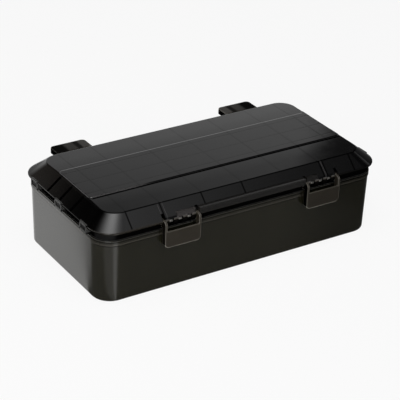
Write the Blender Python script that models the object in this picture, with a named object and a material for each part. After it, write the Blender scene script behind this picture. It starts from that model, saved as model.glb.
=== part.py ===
"""A hard tackle box with a smoked lid, four latches and a divided tub.

Units are metres. The origin is the middle of the tub's underside, +X runs along the length,
-Y is the front and +Z is up. The front latches are closed and the rear latches are raised.
"""

import math
from collections import namedtuple

import bmesh
import bpy
from mathutils import Matrix

BOX_NAME = "tackle_box"
CUTTER_COLLECTION = "cutters"

# Tub
RIM_LENGTH = 0.3408
RIM_WIDTH = 0.1692
RIM_CORNER_RADIUS = 0.0226
TUB_HEIGHT = 0.0710
BEAD_HEIGHT = 0.0059
BEAD_STEP = 0.0007
BEAD_ROUND = 0.0006
WALL_DRAFT = 0.0014
TUB_WALL = 0.0024
TUB_FLOOR = 0.0025
FOOT_RADIUS = 0.0030
FLOOR_ROUND = 0.0018
REBATE_DEPTH = 0.0020
REBATE_WIDTH = 0.0014
FOOT_GROOVE_INSET = 0.0120
FOOT_GROOVE_WIDTH = 0.0040
FOOT_GROOVE_DEPTH = 0.0008

# Fits
FIT_GAP = 0.0003
PLUG_CLEARANCE = 0.0007
EAR_CLEARANCE = 0.0004
OVERRUN = 0.0100
EMBED = 0.0006
MERGE_DISTANCE = 0.00004

# Lid
PLUG_DEPTH = 0.0053
PLUG_WALL = 0.0020
SKIRT_INSET = 0.0021
SKIRT_HEIGHT = 0.0080
FLANGE_OVERHANG = 0.0030
FLANGE_EDGE = 0.0019
CHAMFER_RISE = 0.0142
SIDE_CHAMFER_RUN = 0.0159
END_CHAMFER_RUN = 0.0175
RIDGE_RADIUS = 0.0220
STRIP_FALL = 0.0007
LID_SHELL = 0.0022
BAND_WIDTH = 0.0680
BAND_RISE = 0.0009
BAND_CORNER_RADIUS = 0.0050
BAND_END_INSET = 0.0004
BAND_ROUND = 0.0003
BAND_ROOT = 0.0015
LID_RIB_DEPTH = 0.0020
LID_RIB_THICKNESS = 0.0011
LID_RIB_PAIR_WIDTH = 0.0035
LID_RIB_FOOT = 0.0030
LID_OUTER_RIB_INSET = 0.0334
LID_LONG_RIB_SPACING = 0.0490
LEDGE_RISE = 0.0069
LEDGE_SETBACK = 0.0085
LEDGE_END_RADIUS = 0.0020
TAB_WIDTH = 0.0150
TAB_SPACING = 0.0530
TAB_HEIGHT = 0.0080
TAB_POCKET_MARGIN = 0.0020
TAB_POCKET_DEPTH = 0.0008

# Hinge pins
PIN_RADIUS = 0.0015
PIN_INSET = 0.0026
PIN_RISE = 0.0060
PIN_END_GAP = 0.0003

# Latches
FRONT_LATCH_INSET = 0.0836
FRONT_LATCH_SHIFT = 0.0068
REAR_LATCH_INSET = 0.0631
LATCH_WIDTH = 0.0422
LATCH_PROUD = 0.0095
LATCH_DROP = 0.0250
LATCH_PLATE = 0.0020
LATCH_CORNER_RADIUS = 0.0046
EAR_THICKNESS = 0.0026
EAR_RADIUS = 0.0043
EAR_INNER_REACH = 0.0030
WINDOW_DROP = 0.0065
REAR_LATCH_RAISE = math.radians(90.0)

# Latch hooks and the keepers that they catch
KEEPER_WIDTH = 0.0320
KEEPER_REACH = 0.0056
KEEPER_RADIUS = 0.0166
HOOK_THICKNESS = 0.0025
HOOK_REACH = 0.0036
HOOK_ROOT = 0.0004

# Latch bays in the lid
BAY_FLOOR_DROP = 0.0047
BAY_CEILING_RISE = 0.0050
BAY_BACK_REACH = 0.0055
BAY_WALL = 0.0022
BAY_FLOOR = 0.0020
BAY_LIP_INSET = 0.0024
SLOT_RISE = 0.0098
LUG_RADIUS = 0.0040
LUG_WIDTH = 0.0050
LUG_SPACING = 0.0106
LUG_COUNT = 4

# Seal
SEAL_SIDE_GAP = 0.0003
SEAL_WIDTH = 0.0012

# Dividers
END_COMPARTMENT_LENGTH = 0.0724
CROSS_DIVIDER_COUNT = 5
DIVIDER_THICKNESS = 0.0016
DIVIDER_TOP_DROP = 0.0065
GUIDE_THICKNESS = 0.0012
GUIDE_DEPTH = 0.0016
GUIDE_TOP_DROP = 0.0090

# Mesh fineness
CORNER_STEPS = 7
EDGE_STEPS = 3
ARC_STEPS = 6
ROUND_SIDES = 16
SMOOTH_ANGLE = math.radians(35.0)

RIM_HALF_LENGTH = RIM_LENGTH / 2
RIM_HALF_WIDTH = RIM_WIDTH / 2
BEAD_UNDERSIDE = TUB_HEIGHT - BEAD_HEIGHT
REBATE_FLOOR = TUB_HEIGHT - REBATE_DEPTH
HINGE_REACH = RIM_HALF_WIDTH - PIN_INSET
HINGE_HEIGHT = TUB_HEIGHT + PIN_RISE
LID_STEP = TUB_HEIGHT + FIT_GAP
PLUG_FOOT = LID_STEP - PLUG_DEPTH
FLANGE_UNDERSIDE = LID_STEP + SKIRT_HEIGHT
FLANGE_TOP = FLANGE_UNDERSIDE + FLANGE_EDGE
LID_TOP = FLANGE_TOP + CHAMFER_RISE
PLUG_INSET = BEAD_STEP + TUB_WALL + PLUG_CLEARANCE
PLUG_INNER_INSET = PLUG_INSET + PLUG_WALL
SIDE_SLOPE = CHAMFER_RISE / SIDE_CHAMFER_RUN
END_SLOPE = CHAMFER_RISE / END_CHAMFER_RUN
FRONT_LATCH_SPACING = RIM_LENGTH - 2 * FRONT_LATCH_INSET
REAR_LATCH_SPACING = RIM_LENGTH - 2 * REAR_LATCH_INSET
LATCH_HALF = LATCH_WIDTH / 2
BAY_HALF = LATCH_HALF + EAR_CLEARANCE
WINDOW_HALF = LATCH_HALF - EAR_THICKNESS
DIVIDER_TOP = TUB_HEIGHT - DIVIDER_TOP_DROP
DIVIDER_FOOT = TUB_FLOOR + FIT_GAP
GUIDE_TOP = TUB_HEIGHT - GUIDE_TOP_DROP
DIVIDER_SLOT = DIVIDER_THICKNESS + 2 * FIT_GAP
CROSS_DIVIDER_PITCH = (RIM_LENGTH - 2 * END_COMPARTMENT_LENGTH) / (CROSS_DIVIDER_COUNT - 1)

Section = namedtuple("Section", "half_x half_y radius height")
Site = namedtuple("Site", "name x turn raise_angle")

LATCH_SITES = (
    Site("front_left", FRONT_LATCH_SHIFT - FRONT_LATCH_SPACING / 2, 0.0, 0.0),
    Site("front_right", FRONT_LATCH_SHIFT + FRONT_LATCH_SPACING / 2, 0.0, 0.0),
    Site("rear_left", -REAR_LATCH_SPACING / 2, math.pi, REAR_LATCH_RAISE),
    Site("rear_right", REAR_LATCH_SPACING / 2, math.pi, REAR_LATCH_RAISE),
)


def clear_scene():
    """Remove every object, so that the box stands alone."""
    for item in list(bpy.data.objects):
        bpy.data.objects.remove(item, do_unlink=True)


def make_collection(name):
    """Return a new collection linked to the scene."""
    collection = bpy.data.collections.new(name)
    bpy.context.scene.collection.children.link(collection)
    return collection


def make_material(name, color, roughness, metallic=0.0, alpha=1.0):
    """Return a Principled material."""
    material = bpy.data.materials.new(name)
    material.use_nodes = True
    shader = material.node_tree.nodes["Principled BSDF"]
    shader.inputs["Base Color"].default_value = (*color, 1.0)
    shader.inputs["Roughness"].default_value = roughness
    shader.inputs["Metallic"].default_value = metallic
    shader.inputs["Alpha"].default_value = alpha
    return material


def place_mesh(name, mesh):
    """Put a mesh in the scene as a hidden working piece."""
    item = bpy.data.objects.new(name, mesh)
    item.hide_render = True
    item.display_type = "WIRE"
    bpy.data.collections[CUTTER_COLLECTION].objects.link(item)
    return item


def from_bmesh(name, shape):
    """Turn a bmesh into a working piece with its faces outward."""
    bmesh.ops.recalc_face_normals(shape, faces=shape.faces)
    mesh = bpy.data.meshes.new(name)
    shape.to_mesh(mesh)
    shape.free()
    return place_mesh(name, mesh)


def rounded_outline(half_x, half_y, radius):
    """Points round a rectangle with arc corners, counter-clockwise."""
    quarter = math.pi / 2
    corners = ((1, 1, 0), (-1, 1, 1), (-1, -1, 2), (1, -1, 3))
    points = []
    for sign_x, sign_y, turn in corners:
        centre_x = sign_x * (half_x - radius)
        centre_y = sign_y * (half_y - radius)
        for step in range(CORNER_STEPS + 1):
            angle = quarter * (turn + step / CORNER_STEPS)
            points.append((centre_x + radius * math.cos(angle), centre_y + radius * math.sin(angle)))
    return points


def rim_section(inset, height):
    """The rim's outline drawn in by inset, at a height."""
    return Section(RIM_HALF_LENGTH - inset, RIM_HALF_WIDTH - inset, RIM_CORNER_RADIUS - inset, height)


def ridge_section(inset, height):
    """The outline where the lid's chamfers end, drawn in by inset, at a height."""
    half_x = RIM_HALF_LENGTH + FLANGE_OVERHANG - END_CHAMFER_RUN - inset
    half_y = RIM_HALF_WIDTH + FLANGE_OVERHANG - SIDE_CHAMFER_RUN - inset
    return Section(half_x, half_y, RIDGE_RADIUS - inset, height)


def section_ring(shape, section):
    """Add one section's points to a bmesh."""
    outline = rounded_outline(section.half_x, section.half_y, section.radius)
    return [shape.verts.new((x, y, section.height)) for x, y in outline]


def bridge(shape, lower, upper):
    """Join two rings of equal count with a band of faces."""
    count = len(lower)
    for index in range(count):
        following = (index + 1) % count
        shape.faces.new((lower[index], lower[following], upper[following], upper[index]))


def loft(name, sections):
    """A closed solid through rounded sections, bottom to top."""
    shape = bmesh.new()
    rings = [section_ring(shape, section) for section in sections]
    for lower, upper in zip(rings, rings[1:]):
        bridge(shape, lower, upper)
    shape.faces.new(list(reversed(rings[0])))
    shape.faces.new(rings[-1])
    return from_bmesh(name, shape)


def ring_solid(name, outer_inset, inner_inset, low, high):
    """A closed band that follows the rim between two insets."""
    shape = bmesh.new()
    corners = ((outer_inset, low), (outer_inset, high), (inner_inset, high), (inner_inset, low))
    rings = [section_ring(shape, rim_section(inset, height)) for inset, height in corners]
    for index, ring in enumerate(rings):
        bridge(shape, ring, rings[(index + 1) % len(rings)])
    return from_bmesh(name, shape)


def box(name, low, high):
    """A box between two corners."""
    shape = bmesh.new()
    bmesh.ops.create_cube(shape, size=1.0)
    scale = [high[axis] - low[axis] for axis in range(3)]
    centre = [(high[axis] + low[axis]) / 2 for axis in range(3)]
    bmesh.ops.scale(shape, vec=scale, verts=shape.verts)
    bmesh.ops.translate(shape, vec=centre, verts=shape.verts)
    return from_bmesh(name, shape)


def cylinder_x(name, radius, length, centre):
    """A round bar along X."""
    shape = bmesh.new()
    turn = Matrix.Translation(centre) @ Matrix.Rotation(math.pi / 2, 4, "Y")
    bmesh.ops.create_cone(
        shape, cap_ends=True, segments=ROUND_SIDES, radius1=radius, radius2=radius, depth=length, matrix=turn
    )
    return from_bmesh(name, shape)


def arc(centre_x, centre_y, radius, start, end, steps):
    """Points along an arc, both ends included; angles in radians."""
    points = []
    for step in range(steps + 1):
        angle = start + (end - start) * step / steps
        points.append((centre_x + radius * math.cos(angle), centre_y + radius * math.sin(angle)))
    return points


def prism(name, outline, thickness, frame):
    """Extrude a flat outline evenly to both sides, then place it by frame."""
    curve = bpy.data.curves.new(name, "CURVE")
    curve.dimensions = "2D"
    curve.fill_mode = "BOTH"
    curve.extrude = thickness / 2
    spline = curve.splines.new("POLY")
    spline.points.add(len(outline) - 1)
    for point, (x, y) in zip(spline.points, outline):
        point.co = (x, y, 0.0, 1.0)
    spline.use_cyclic_u = True
    guide = bpy.data.objects.new(name, curve)
    bpy.data.collections[CUTTER_COLLECTION].objects.link(guide)
    graph = bpy.context.evaluated_depsgraph_get()
    mesh = bpy.data.meshes.new_from_object(guide.evaluated_get(graph))
    bpy.data.objects.remove(guide, do_unlink=True)
    bpy.data.curves.remove(curve)
    shape = bmesh.new()
    shape.from_mesh(mesh)
    bpy.data.meshes.remove(mesh)
    bmesh.ops.remove_doubles(shape, verts=shape.verts, dist=MERGE_DISTANCE)
    bmesh.ops.transform(shape, matrix=frame, verts=shape.verts)
    return from_bmesh(name, shape)


def side_frame(x=0.0):
    """Stand an outline of (y, height) upright, with its thickness along X about x."""
    columns = Matrix(((0, 0, 1), (1, 0, 0), (0, 1, 0)))
    return Matrix.Translation((x, 0.0, 0.0)) @ columns.to_4x4()


def front_frame(y=0.0):
    """Stand an outline of (x, height) upright, with its thickness along Y about y."""
    return Matrix.Translation((0.0, y, 0.0)) @ Matrix.Rotation(math.pi / 2, 4, "X")


def site_matrix(site):
    """From a latch's own frame, pin at the origin and front at -Y, to its place on the closed box."""
    reach = Matrix.Translation((0.0, -HINGE_REACH, HINGE_HEIGHT))
    return Matrix.Translation((site.x, 0.0, 0.0)) @ Matrix.Rotation(site.turn, 4, "Z") @ reach


def gather(name, pieces):
    """Collect separate working pieces in one mesh and remove them."""
    shape = bmesh.new()
    for piece in pieces:
        piece.data.transform(piece.matrix_basis)
        shape.from_mesh(piece.data)
        bpy.data.objects.remove(piece, do_unlink=True)
    return from_bmesh(name, shape)


def at_every_site(name, make_piece):
    """Repeat a latch-frame piece at the four latch sites, as one working mesh."""
    pieces = []
    for site in LATCH_SITES:
        piece = make_piece(f"{name}_{site.name}")
        piece.data.transform(site_matrix(site))
        pieces.append(piece)
    return gather(name, pieces)


def combine(target, tool, operation):
    """Join, cut or intersect target with tool, and keep the result as target's mesh."""
    modifier = target.modifiers.new(tool.name, "BOOLEAN")
    modifier.operation = operation
    modifier.solver = "EXACT"
    modifier.object = tool
    graph = bpy.context.evaluated_depsgraph_get()
    mesh = bpy.data.meshes.new_from_object(target.evaluated_get(graph))
    target.modifiers.clear()
    target.data = mesh
    return target


def shade_round(item):
    """Smooth the round faces and keep the corners sharp."""
    item.data.shade_smooth()
    item.data.set_sharp_from_angle(angle=SMOOTH_ANGLE)


def keep(piece, name, material, origin=(0.0, 0.0, 0.0)):
    """Make a working piece a part of the box, with its origin at a point."""
    item = bpy.data.objects.new(name, piece.data.copy())
    item.data.name = name
    item.data.transform(Matrix.Translation([-value for value in origin]))
    item.location = origin
    item.data.materials.clear()
    item.data.materials.append(material)
    bpy.data.collections[BOX_NAME].objects.link(item)
    shade_round(item)
    return item


def wall_inset(height):
    """How far the drafted outer wall lies inside the rim at a height."""
    return BEAD_STEP + WALL_DRAFT * (1 - height / BEAD_UNDERSIDE)


def inner_wall_inset(height):
    """How far the tub's inner wall lies inside the rim at a height."""
    return wall_inset(height) + TUB_WALL


def tub_outer():
    """The tub's outside: rounded foot, drafted wall and rim bead."""
    sections = []
    foot_inset = wall_inset(FOOT_RADIUS)
    for step in range(EDGE_STEPS + 1):
        angle = math.pi / 2 * step / EDGE_STEPS
        inset = foot_inset + FOOT_RADIUS * (1 - math.sin(angle))
        sections.append(rim_section(inset, FOOT_RADIUS * (1 - math.cos(angle))))
    sections.append(rim_section(BEAD_STEP, BEAD_UNDERSIDE))
    sections.append(rim_section(0.0, BEAD_UNDERSIDE + BEAD_ROUND))
    sections.append(rim_section(0.0, TUB_HEIGHT - BEAD_ROUND))
    sections.append(rim_section(BEAD_ROUND, TUB_HEIGHT))
    return loft("tub_outer", sections)


def tub_cavity():
    """The tub's inside, stepped out at the top for the seal."""
    floor_edge = TUB_FLOOR + FLOOR_ROUND
    rebate_inset = inner_wall_inset(REBATE_FLOOR) - REBATE_WIDTH
    sections = (
        rim_section(inner_wall_inset(floor_edge) + FLOOR_ROUND, TUB_FLOOR),
        rim_section(inner_wall_inset(floor_edge), floor_edge),
        rim_section(inner_wall_inset(REBATE_FLOOR), REBATE_FLOOR),
        rim_section(rebate_inset, REBATE_FLOOR),
        rim_section(rebate_inset, TUB_HEIGHT + OVERRUN),
    )
    return loft("tub_cavity", sections)


def guide_outline(half_span):
    """A guide rib's side outline on a wall whose rim lies at half_span."""
    low = TUB_FLOOR - EMBED
    points = []
    for height, extra in ((low, -EMBED), (low, GUIDE_DEPTH), (GUIDE_TOP, GUIDE_DEPTH), (GUIDE_TOP, -EMBED)):
        wall = half_span - inner_wall_inset(height)
        points.append((wall - extra, height))
    return points


def guide_pair_offsets():
    """Middles of the two ribs that hold one divider."""
    offset = (DIVIDER_SLOT + GUIDE_THICKNESS) / 2
    return (-offset, offset)


def cross_divider_places():
    """X of each cross divider."""
    middle = (CROSS_DIVIDER_COUNT - 1) / 2
    return [(index - middle) * CROSS_DIVIDER_PITCH for index in range(CROSS_DIVIDER_COUNT)]


def tub_guides():
    """Rib pairs on the four walls, one pair for each end of a divider."""
    ribs = []
    side_outline = guide_outline(RIM_HALF_WIDTH)
    for place in cross_divider_places():
        for turn in (0.0, math.pi):
            for offset in guide_pair_offsets():
                rib = prism("side_guide", side_outline, GUIDE_THICKNESS, side_frame(place + offset))
                if turn:
                    rib.data.transform(Matrix.Scale(-1, 4, (0, 1, 0)))
                    rib.data.flip_normals()
                ribs.append(rib)
    end_outline = guide_outline(RIM_HALF_LENGTH)
    for turn in (0.0, math.pi):
        for offset in guide_pair_offsets():
            rib = prism("end_guide", end_outline, GUIDE_THICKNESS, front_frame(offset))
            rib.data.transform(Matrix.Rotation(turn, 4, "Z"))
            ribs.append(rib)
    return gather("tub_guides", ribs)


def keeper(name):
    """A ledge under the rim whose underside is an arc about the latch's pin."""
    top = BEAD_UNDERSIDE + BEAD_ROUND + EMBED - HINGE_HEIGHT
    wall_reach = PIN_INSET - wall_inset(BEAD_UNDERSIDE) - EMBED
    start = math.asin(wall_reach / KEEPER_RADIUS)
    end = math.asin(KEEPER_REACH / KEEPER_RADIUS)
    underside = []
    for step in range(ARC_STEPS + 1):
        angle = start + (end - start) * step / ARC_STEPS
        underside.append((-KEEPER_RADIUS * math.sin(angle), -KEEPER_RADIUS * math.cos(angle)))
    outline = underside + [(-KEEPER_REACH, top), (-wall_reach, top)]
    return prism(name, outline, KEEPER_WIDTH, side_frame())


def make_tub(material):
    """The tub: drafted shell, rim bead, seal rebate, divider guides and four keepers."""
    tub = tub_outer()
    combine(tub, tub_cavity(), "DIFFERENCE")
    combine(tub, tub_guides(), "UNION")
    combine(tub, at_every_site("keeper", keeper), "UNION")
    groove_inner = FOOT_GROOVE_INSET + FOOT_GROOVE_WIDTH
    groove = ring_solid("foot_groove", FOOT_GROOVE_INSET, groove_inner, -OVERRUN, FOOT_GROOVE_DEPTH)
    combine(tub, groove, "DIFFERENCE")
    return keep(tub, "tub", material)


def tilt_strips(shape):
    """Lower the two outer strips of the lid's top towards the ridges."""
    band_half = BAND_WIDTH / 2
    ridge_half = RIM_HALF_WIDTH + FLANGE_OVERHANG - SIDE_CHAMFER_RUN
    fall = math.atan2(STRIP_FALL, ridge_half - band_half)
    for sign in (-1, 1):
        geometry = shape.verts[:] + shape.edges[:] + shape.faces[:]
        normal = (0.0, sign * math.sin(fall), math.cos(fall))
        point = (0.0, sign * band_half, LID_TOP)
        bmesh.ops.bisect_plane(shape, geom=geometry, plane_co=point, plane_no=normal, clear_outer=True)
        open_edges = [edge for edge in shape.edges if edge.is_boundary]
        bmesh.ops.edgeloop_fill(shape, edges=open_edges)


def lid_outer():
    """The lid's outside: plug, skirt, flange, chamfers and tilted top strips."""
    sections = (
        rim_section(PLUG_INSET, PLUG_FOOT),
        rim_section(PLUG_INSET, LID_STEP),
        rim_section(SKIRT_INSET, LID_STEP),
        rim_section(SKIRT_INSET, FLANGE_UNDERSIDE),
        rim_section(-FLANGE_OVERHANG, FLANGE_UNDERSIDE),
        rim_section(-FLANGE_OVERHANG, FLANGE_TOP),
        ridge_section(0.0, LID_TOP),
    )
    lid = loft("lid_outer", sections)
    shape = bmesh.new()
    shape.from_mesh(lid.data)
    tilt_strips(shape)
    shape.to_mesh(lid.data)
    shape.free()
    return lid


def lid_band():
    """The raised band along the middle of the lid, with round corners."""
    half_x = ridge_section(BAND_END_INSET, LID_TOP).half_x
    half_y = BAND_WIDTH / 2
    top = LID_TOP + BAND_RISE
    sections = []
    for inset, height in ((0.0, LID_TOP - BAND_ROOT), (0.0, top - BAND_ROUND), (BAND_ROUND, top)):
        sections.append(Section(half_x - inset, half_y - inset, BAND_CORNER_RADIUS - inset, height))
    return loft("lid_band", sections)


def chamfer_height(reach):
    """Height of the side chamfer's outer face at a distance from the middle plane."""
    return FLANGE_TOP + (RIM_HALF_WIDTH + FLANGE_OVERHANG - reach) * SIDE_SLOPE


def dome_section(extra, height):
    """The lid's inner outline under the top, drawn in by extra."""
    drop = LID_TOP - LID_SHELL - height
    side_normal = math.hypot(1.0, SIDE_SLOPE) * LID_SHELL
    end_normal = math.hypot(1.0, END_SLOPE) * LID_SHELL
    half_x = RIM_HALF_LENGTH + FLANGE_OVERHANG - END_CHAMFER_RUN
    half_y = RIM_HALF_WIDTH + FLANGE_OVERHANG - SIDE_CHAMFER_RUN
    half_x += (LID_SHELL - end_normal + drop) / END_SLOPE - extra
    half_y += (LID_SHELL - side_normal + drop) / SIDE_SLOPE - extra
    return Section(half_x, half_y, RIDGE_RADIUS - LID_SHELL - extra, height)


def lid_cavity():
    """The lid's inside, with lattice ribs left standing under the top."""
    wall = rim_section(PLUG_INNER_INSET, PLUG_FOOT - OVERRUN)
    inner_half_width = RIM_HALF_WIDTH - PLUG_INNER_INSET
    side_normal = math.hypot(1.0, SIDE_SLOPE) * LID_SHELL
    eave = chamfer_height(inner_half_width) - side_normal
    top = LID_TOP - LID_SHELL - STRIP_FALL
    cavity = loft("lid_cavity", (wall, rim_section(PLUG_INNER_INSET, eave), dome_section(0.0, top)))
    combine(cavity, cross_ribs(eave), "DIFFERENCE")
    combine(cavity, long_ribs(eave), "DIFFERENCE")
    hollow_foot = rim_section(PLUG_INNER_INSET + LID_RIB_DEPTH, eave - LID_RIB_FOOT)
    hollow_eave = rim_section(PLUG_INNER_INSET + LID_RIB_DEPTH, eave - LID_RIB_DEPTH / 2)
    hollow_top = dome_section(LID_RIB_DEPTH, top - LID_RIB_DEPTH)
    hollow = loft("lid_hollow", (hollow_foot, hollow_eave, hollow_top))
    combine(cavity, hollow, "UNION")
    return cavity


def rib_pair_offsets():
    """Middles of the two thin ribs of one lattice line."""
    offset = (LID_RIB_PAIR_WIDTH - LID_RIB_THICKNESS) / 2
    return (-offset, offset)


def cross_ribs(eave):
    """Lattice ribs across the lid, in pairs."""
    outer = RIM_HALF_LENGTH - LID_OUTER_RIB_INSET
    places = [0.0, outer, -outer]
    for count in (1, 2):
        places += [count * CROSS_DIVIDER_PITCH, -count * CROSS_DIVIDER_PITCH]
    ribs = []
    half = LID_RIB_THICKNESS / 2
    for place in places:
        for offset in rib_pair_offsets():
            middle = place + offset
            low = (middle - half, -RIM_WIDTH, eave - LID_RIB_DEPTH)
            high = (middle + half, RIM_WIDTH, LID_TOP + OVERRUN)
            ribs.append(box("cross_rib", low, high))
    return gather("cross_ribs", ribs)


def long_ribs(eave):
    """Lattice ribs along the lid, in pairs."""
    ribs = []
    half = LID_RIB_THICKNESS / 2
    for place in (-LID_LONG_RIB_SPACING / 2, 0.0, LID_LONG_RIB_SPACING / 2):
        for offset in rib_pair_offsets():
            middle = place + offset
            low = (-RIM_LENGTH, middle - half, eave - LID_RIB_DEPTH)
            high = (RIM_LENGTH, middle + half, LID_TOP + OVERRUN)
            ribs.append(box("long_rib", low, high))
    return gather("long_ribs", ribs)


def bay_block(name):
    """The part of the lid's inside that stays solid round a latch bay."""
    width = BAY_HALF + BAY_WALL
    low = (-width, -OVERRUN, -BAY_FLOOR_DROP - BAY_FLOOR)
    high = (width, BAY_BACK_REACH + BAY_WALL, CHAMFER_RISE + OVERRUN)
    return box(name, low, high)


def bay_cutter(name):
    """The hollow in front of the lugs, under the chamfer's edge."""
    lip = -(RIM_HALF_WIDTH + FLANGE_OVERHANG - BAY_LIP_INSET - HINGE_REACH)
    side_normal = math.hypot(1.0, SIDE_SLOPE) * LID_SHELL
    lip_height = chamfer_height(HINGE_REACH - lip) - side_normal - HINGE_HEIGHT
    fold = lip + (BAY_CEILING_RISE - lip_height) / SIDE_SLOPE
    outline = (
        (BAY_BACK_REACH, -BAY_FLOOR_DROP),
        (BAY_BACK_REACH, BAY_CEILING_RISE),
        (fold, BAY_CEILING_RISE),
        (lip, lip_height),
        (lip, OVERRUN + CHAMFER_RISE),
        (-LATCH_PROUD - OVERRUN, OVERRUN + CHAMFER_RISE),
        (-LATCH_PROUD - OVERRUN, -BAY_FLOOR_DROP),
    )
    return prism(name, outline, 2 * BAY_HALF, side_frame())


def slot_cutter(name):
    """The two slots that let a latch's ears swing through the chamfer."""
    slots = []
    width = EAR_THICKNESS + 2 * EAR_CLEARANCE
    middle = LATCH_HALF - EAR_THICKNESS / 2
    for sign in (-1, 1):
        low = (sign * middle - width / 2, -LATCH_PROUD - OVERRUN, -BAY_FLOOR_DROP / 2)
        high = (sign * middle + width / 2, BAY_BACK_REACH, SLOT_RISE)
        slots.append(box("ear_slot", low, high))
    return gather(name, slots)


def lug_set(name):
    """Knuckles that carry the pin, standing out from the bay's back wall."""
    lugs = []
    quarter = math.pi / 2
    round_front = arc(0.0, 0.0, LUG_RADIUS, quarter, 3 * quarter, ARC_STEPS)
    back = BAY_BACK_REACH + EMBED
    outline = round_front + [(back, -LUG_RADIUS), (back, BAY_CEILING_RISE + EMBED), (0.0, BAY_CEILING_RISE + EMBED)]
    for index in range(LUG_COUNT):
        place = (index - (LUG_COUNT - 1) / 2) * LUG_SPACING
        lugs.append(prism("lug", outline, LUG_WIDTH, side_frame(place)))
    return gather(name, lugs)


def pin_hole(name):
    """The hole that a hinge pin passes through."""
    return cylinder_x(name, PIN_RADIUS + FIT_GAP, LATCH_WIDTH + OVERRUN, (0.0, 0.0, 0.0))


def lid_ledge():
    """The finger ledge along the lid's front edge, from one front latch to the other."""
    half = FRONT_LATCH_SPACING / 2
    front = RIM_HALF_WIDTH + FLANGE_OVERHANG
    back = front - LEDGE_SETBACK
    quarter = math.pi / 2
    radius = LEDGE_END_RADIUS
    outline = [(FRONT_LATCH_SHIFT + half, -back), (FRONT_LATCH_SHIFT - half, -back)]
    outline += arc(FRONT_LATCH_SHIFT - half + radius, -front + radius, radius, 2 * quarter, 3 * quarter, EDGE_STEPS)
    outline += arc(FRONT_LATCH_SHIFT + half - radius, -front + radius, radius, -quarter, 0.0, EDGE_STEPS)
    middle = FLANGE_UNDERSIDE + LEDGE_RISE / 2
    return prism("lid_ledge", outline, LEDGE_RISE, Matrix.Translation((0.0, 0.0, middle)))


def lid_tabs():
    """Three framed tabs under the flange at each end of the lid."""
    outer = RIM_HALF_LENGTH + FLANGE_OVERHANG
    inner = RIM_HALF_LENGTH - SKIRT_INSET - EMBED
    half = TAB_WIDTH / 2
    top = FLANGE_TOP - BEAD_ROUND
    tabs = []
    for sign in (-1, 1):
        for place in (-TAB_SPACING, 0.0, TAB_SPACING):
            ends = sorted((sign * inner, sign * (outer - BEAD_ROUND)))
            tab = box("tab", (ends[0], place - half, top - TAB_HEIGHT), (ends[1], place + half, top))
            pocket_half = half - TAB_POCKET_MARGIN
            depth = sorted((sign * (outer - BEAD_ROUND - TAB_POCKET_DEPTH), sign * (outer + OVERRUN)))
            pocket_low = (depth[0], place - pocket_half, top - TAB_HEIGHT + TAB_POCKET_MARGIN)
            pocket_high = (depth[1], place + pocket_half, FLANGE_UNDERSIDE - EMBED)
            combine(tab, box("tab_pocket", pocket_low, pocket_high), "DIFFERENCE")
            tabs.append(tab)
    return gather("lid_tabs", tabs)


def make_lid(material):
    """The lid: ribbed shell with a raised band, finger ledge, tabs, latch bays and lugs."""
    lid = lid_outer()
    combine(lid, lid_band(), "UNION")
    combine(lid, lid_ledge(), "UNION")
    cavity = lid_cavity()
    combine(cavity, at_every_site("bay_block", bay_block), "DIFFERENCE")
    combine(lid, cavity, "DIFFERENCE")
    combine(lid, lid_tabs(), "UNION")
    combine(lid, at_every_site("bay", bay_cutter), "DIFFERENCE")
    combine(lid, at_every_site("lugs", lug_set), "UNION")
    combine(lid, at_every_site("slots", slot_cutter), "DIFFERENCE")
    combine(lid, at_every_site("pin_holes", pin_hole), "DIFFERENCE")
    return keep(lid, "lid", material, (0.0, -HINGE_REACH, HINGE_HEIGHT))


def make_seal(material):
    """The sealing ring between the lid's plug and the tub's rebate."""
    outer = PLUG_INSET - SEAL_SIDE_GAP - SEAL_WIDTH
    inner = PLUG_INSET - SEAL_SIDE_GAP
    ring = ring_solid("seal_ring", outer, inner, REBATE_FLOOR + FIT_GAP, TUB_HEIGHT)
    return keep(ring, "lid_seal", material, (0.0, -HINGE_REACH, HINGE_HEIGHT))


def latch_body():
    """A latch's side outline, extruded to the full width."""
    quarter = math.pi / 2
    outer_top = arc(-LATCH_PROUD + EAR_RADIUS, 0.0, EAR_RADIUS, 2 * quarter, quarter, ARC_STEPS)
    eye_end = math.asin(EAR_INNER_REACH / EAR_RADIUS) + quarter
    eye = arc(0.0, 0.0, EAR_RADIUS, quarter, -eye_end, 2 * ARC_STEPS)
    outline = [(-LATCH_PROUD, -LATCH_DROP)] + outer_top + eye + [(-EAR_INNER_REACH, -LATCH_DROP)]
    return prism("latch_body", outline, LATCH_WIDTH, side_frame())


def latch_pocket():
    """The space between the ears: open behind the plate and clear through the window."""
    plate_inner = -LATCH_PROUD + LATCH_PLATE
    outline = (
        (plate_inner, -LATCH_DROP - OVERRUN),
        (OVERRUN, -LATCH_DROP - OVERRUN),
        (OVERRUN, OVERRUN),
        (-LATCH_PROUD - OVERRUN, OVERRUN),
        (-LATCH_PROUD - OVERRUN, -WINDOW_DROP),
        (plate_inner, -WINDOW_DROP),
    )
    return prism("latch_pocket", outline, 2 * WINDOW_HALF, side_frame())


def latch_hook():
    """The hook behind the plate, an arc about the pin that passes under the keeper."""
    near = KEEPER_RADIUS + FIT_GAP
    far = near + HOOK_THICKNESS
    root = LATCH_PROUD - LATCH_PLATE + HOOK_ROOT
    points = []
    for radius, first, last in ((near, HOOK_REACH, root), (far, root, HOOK_REACH)):
        start = math.asin(first / radius)
        end = math.asin(last / radius)
        for step in range(EDGE_STEPS + 1):
            angle = start + (end - start) * step / EDGE_STEPS
            points.append((-radius * math.sin(angle), -radius * math.cos(angle)))
    return prism("latch_hook", points, KEEPER_WIDTH, side_frame())


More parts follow.
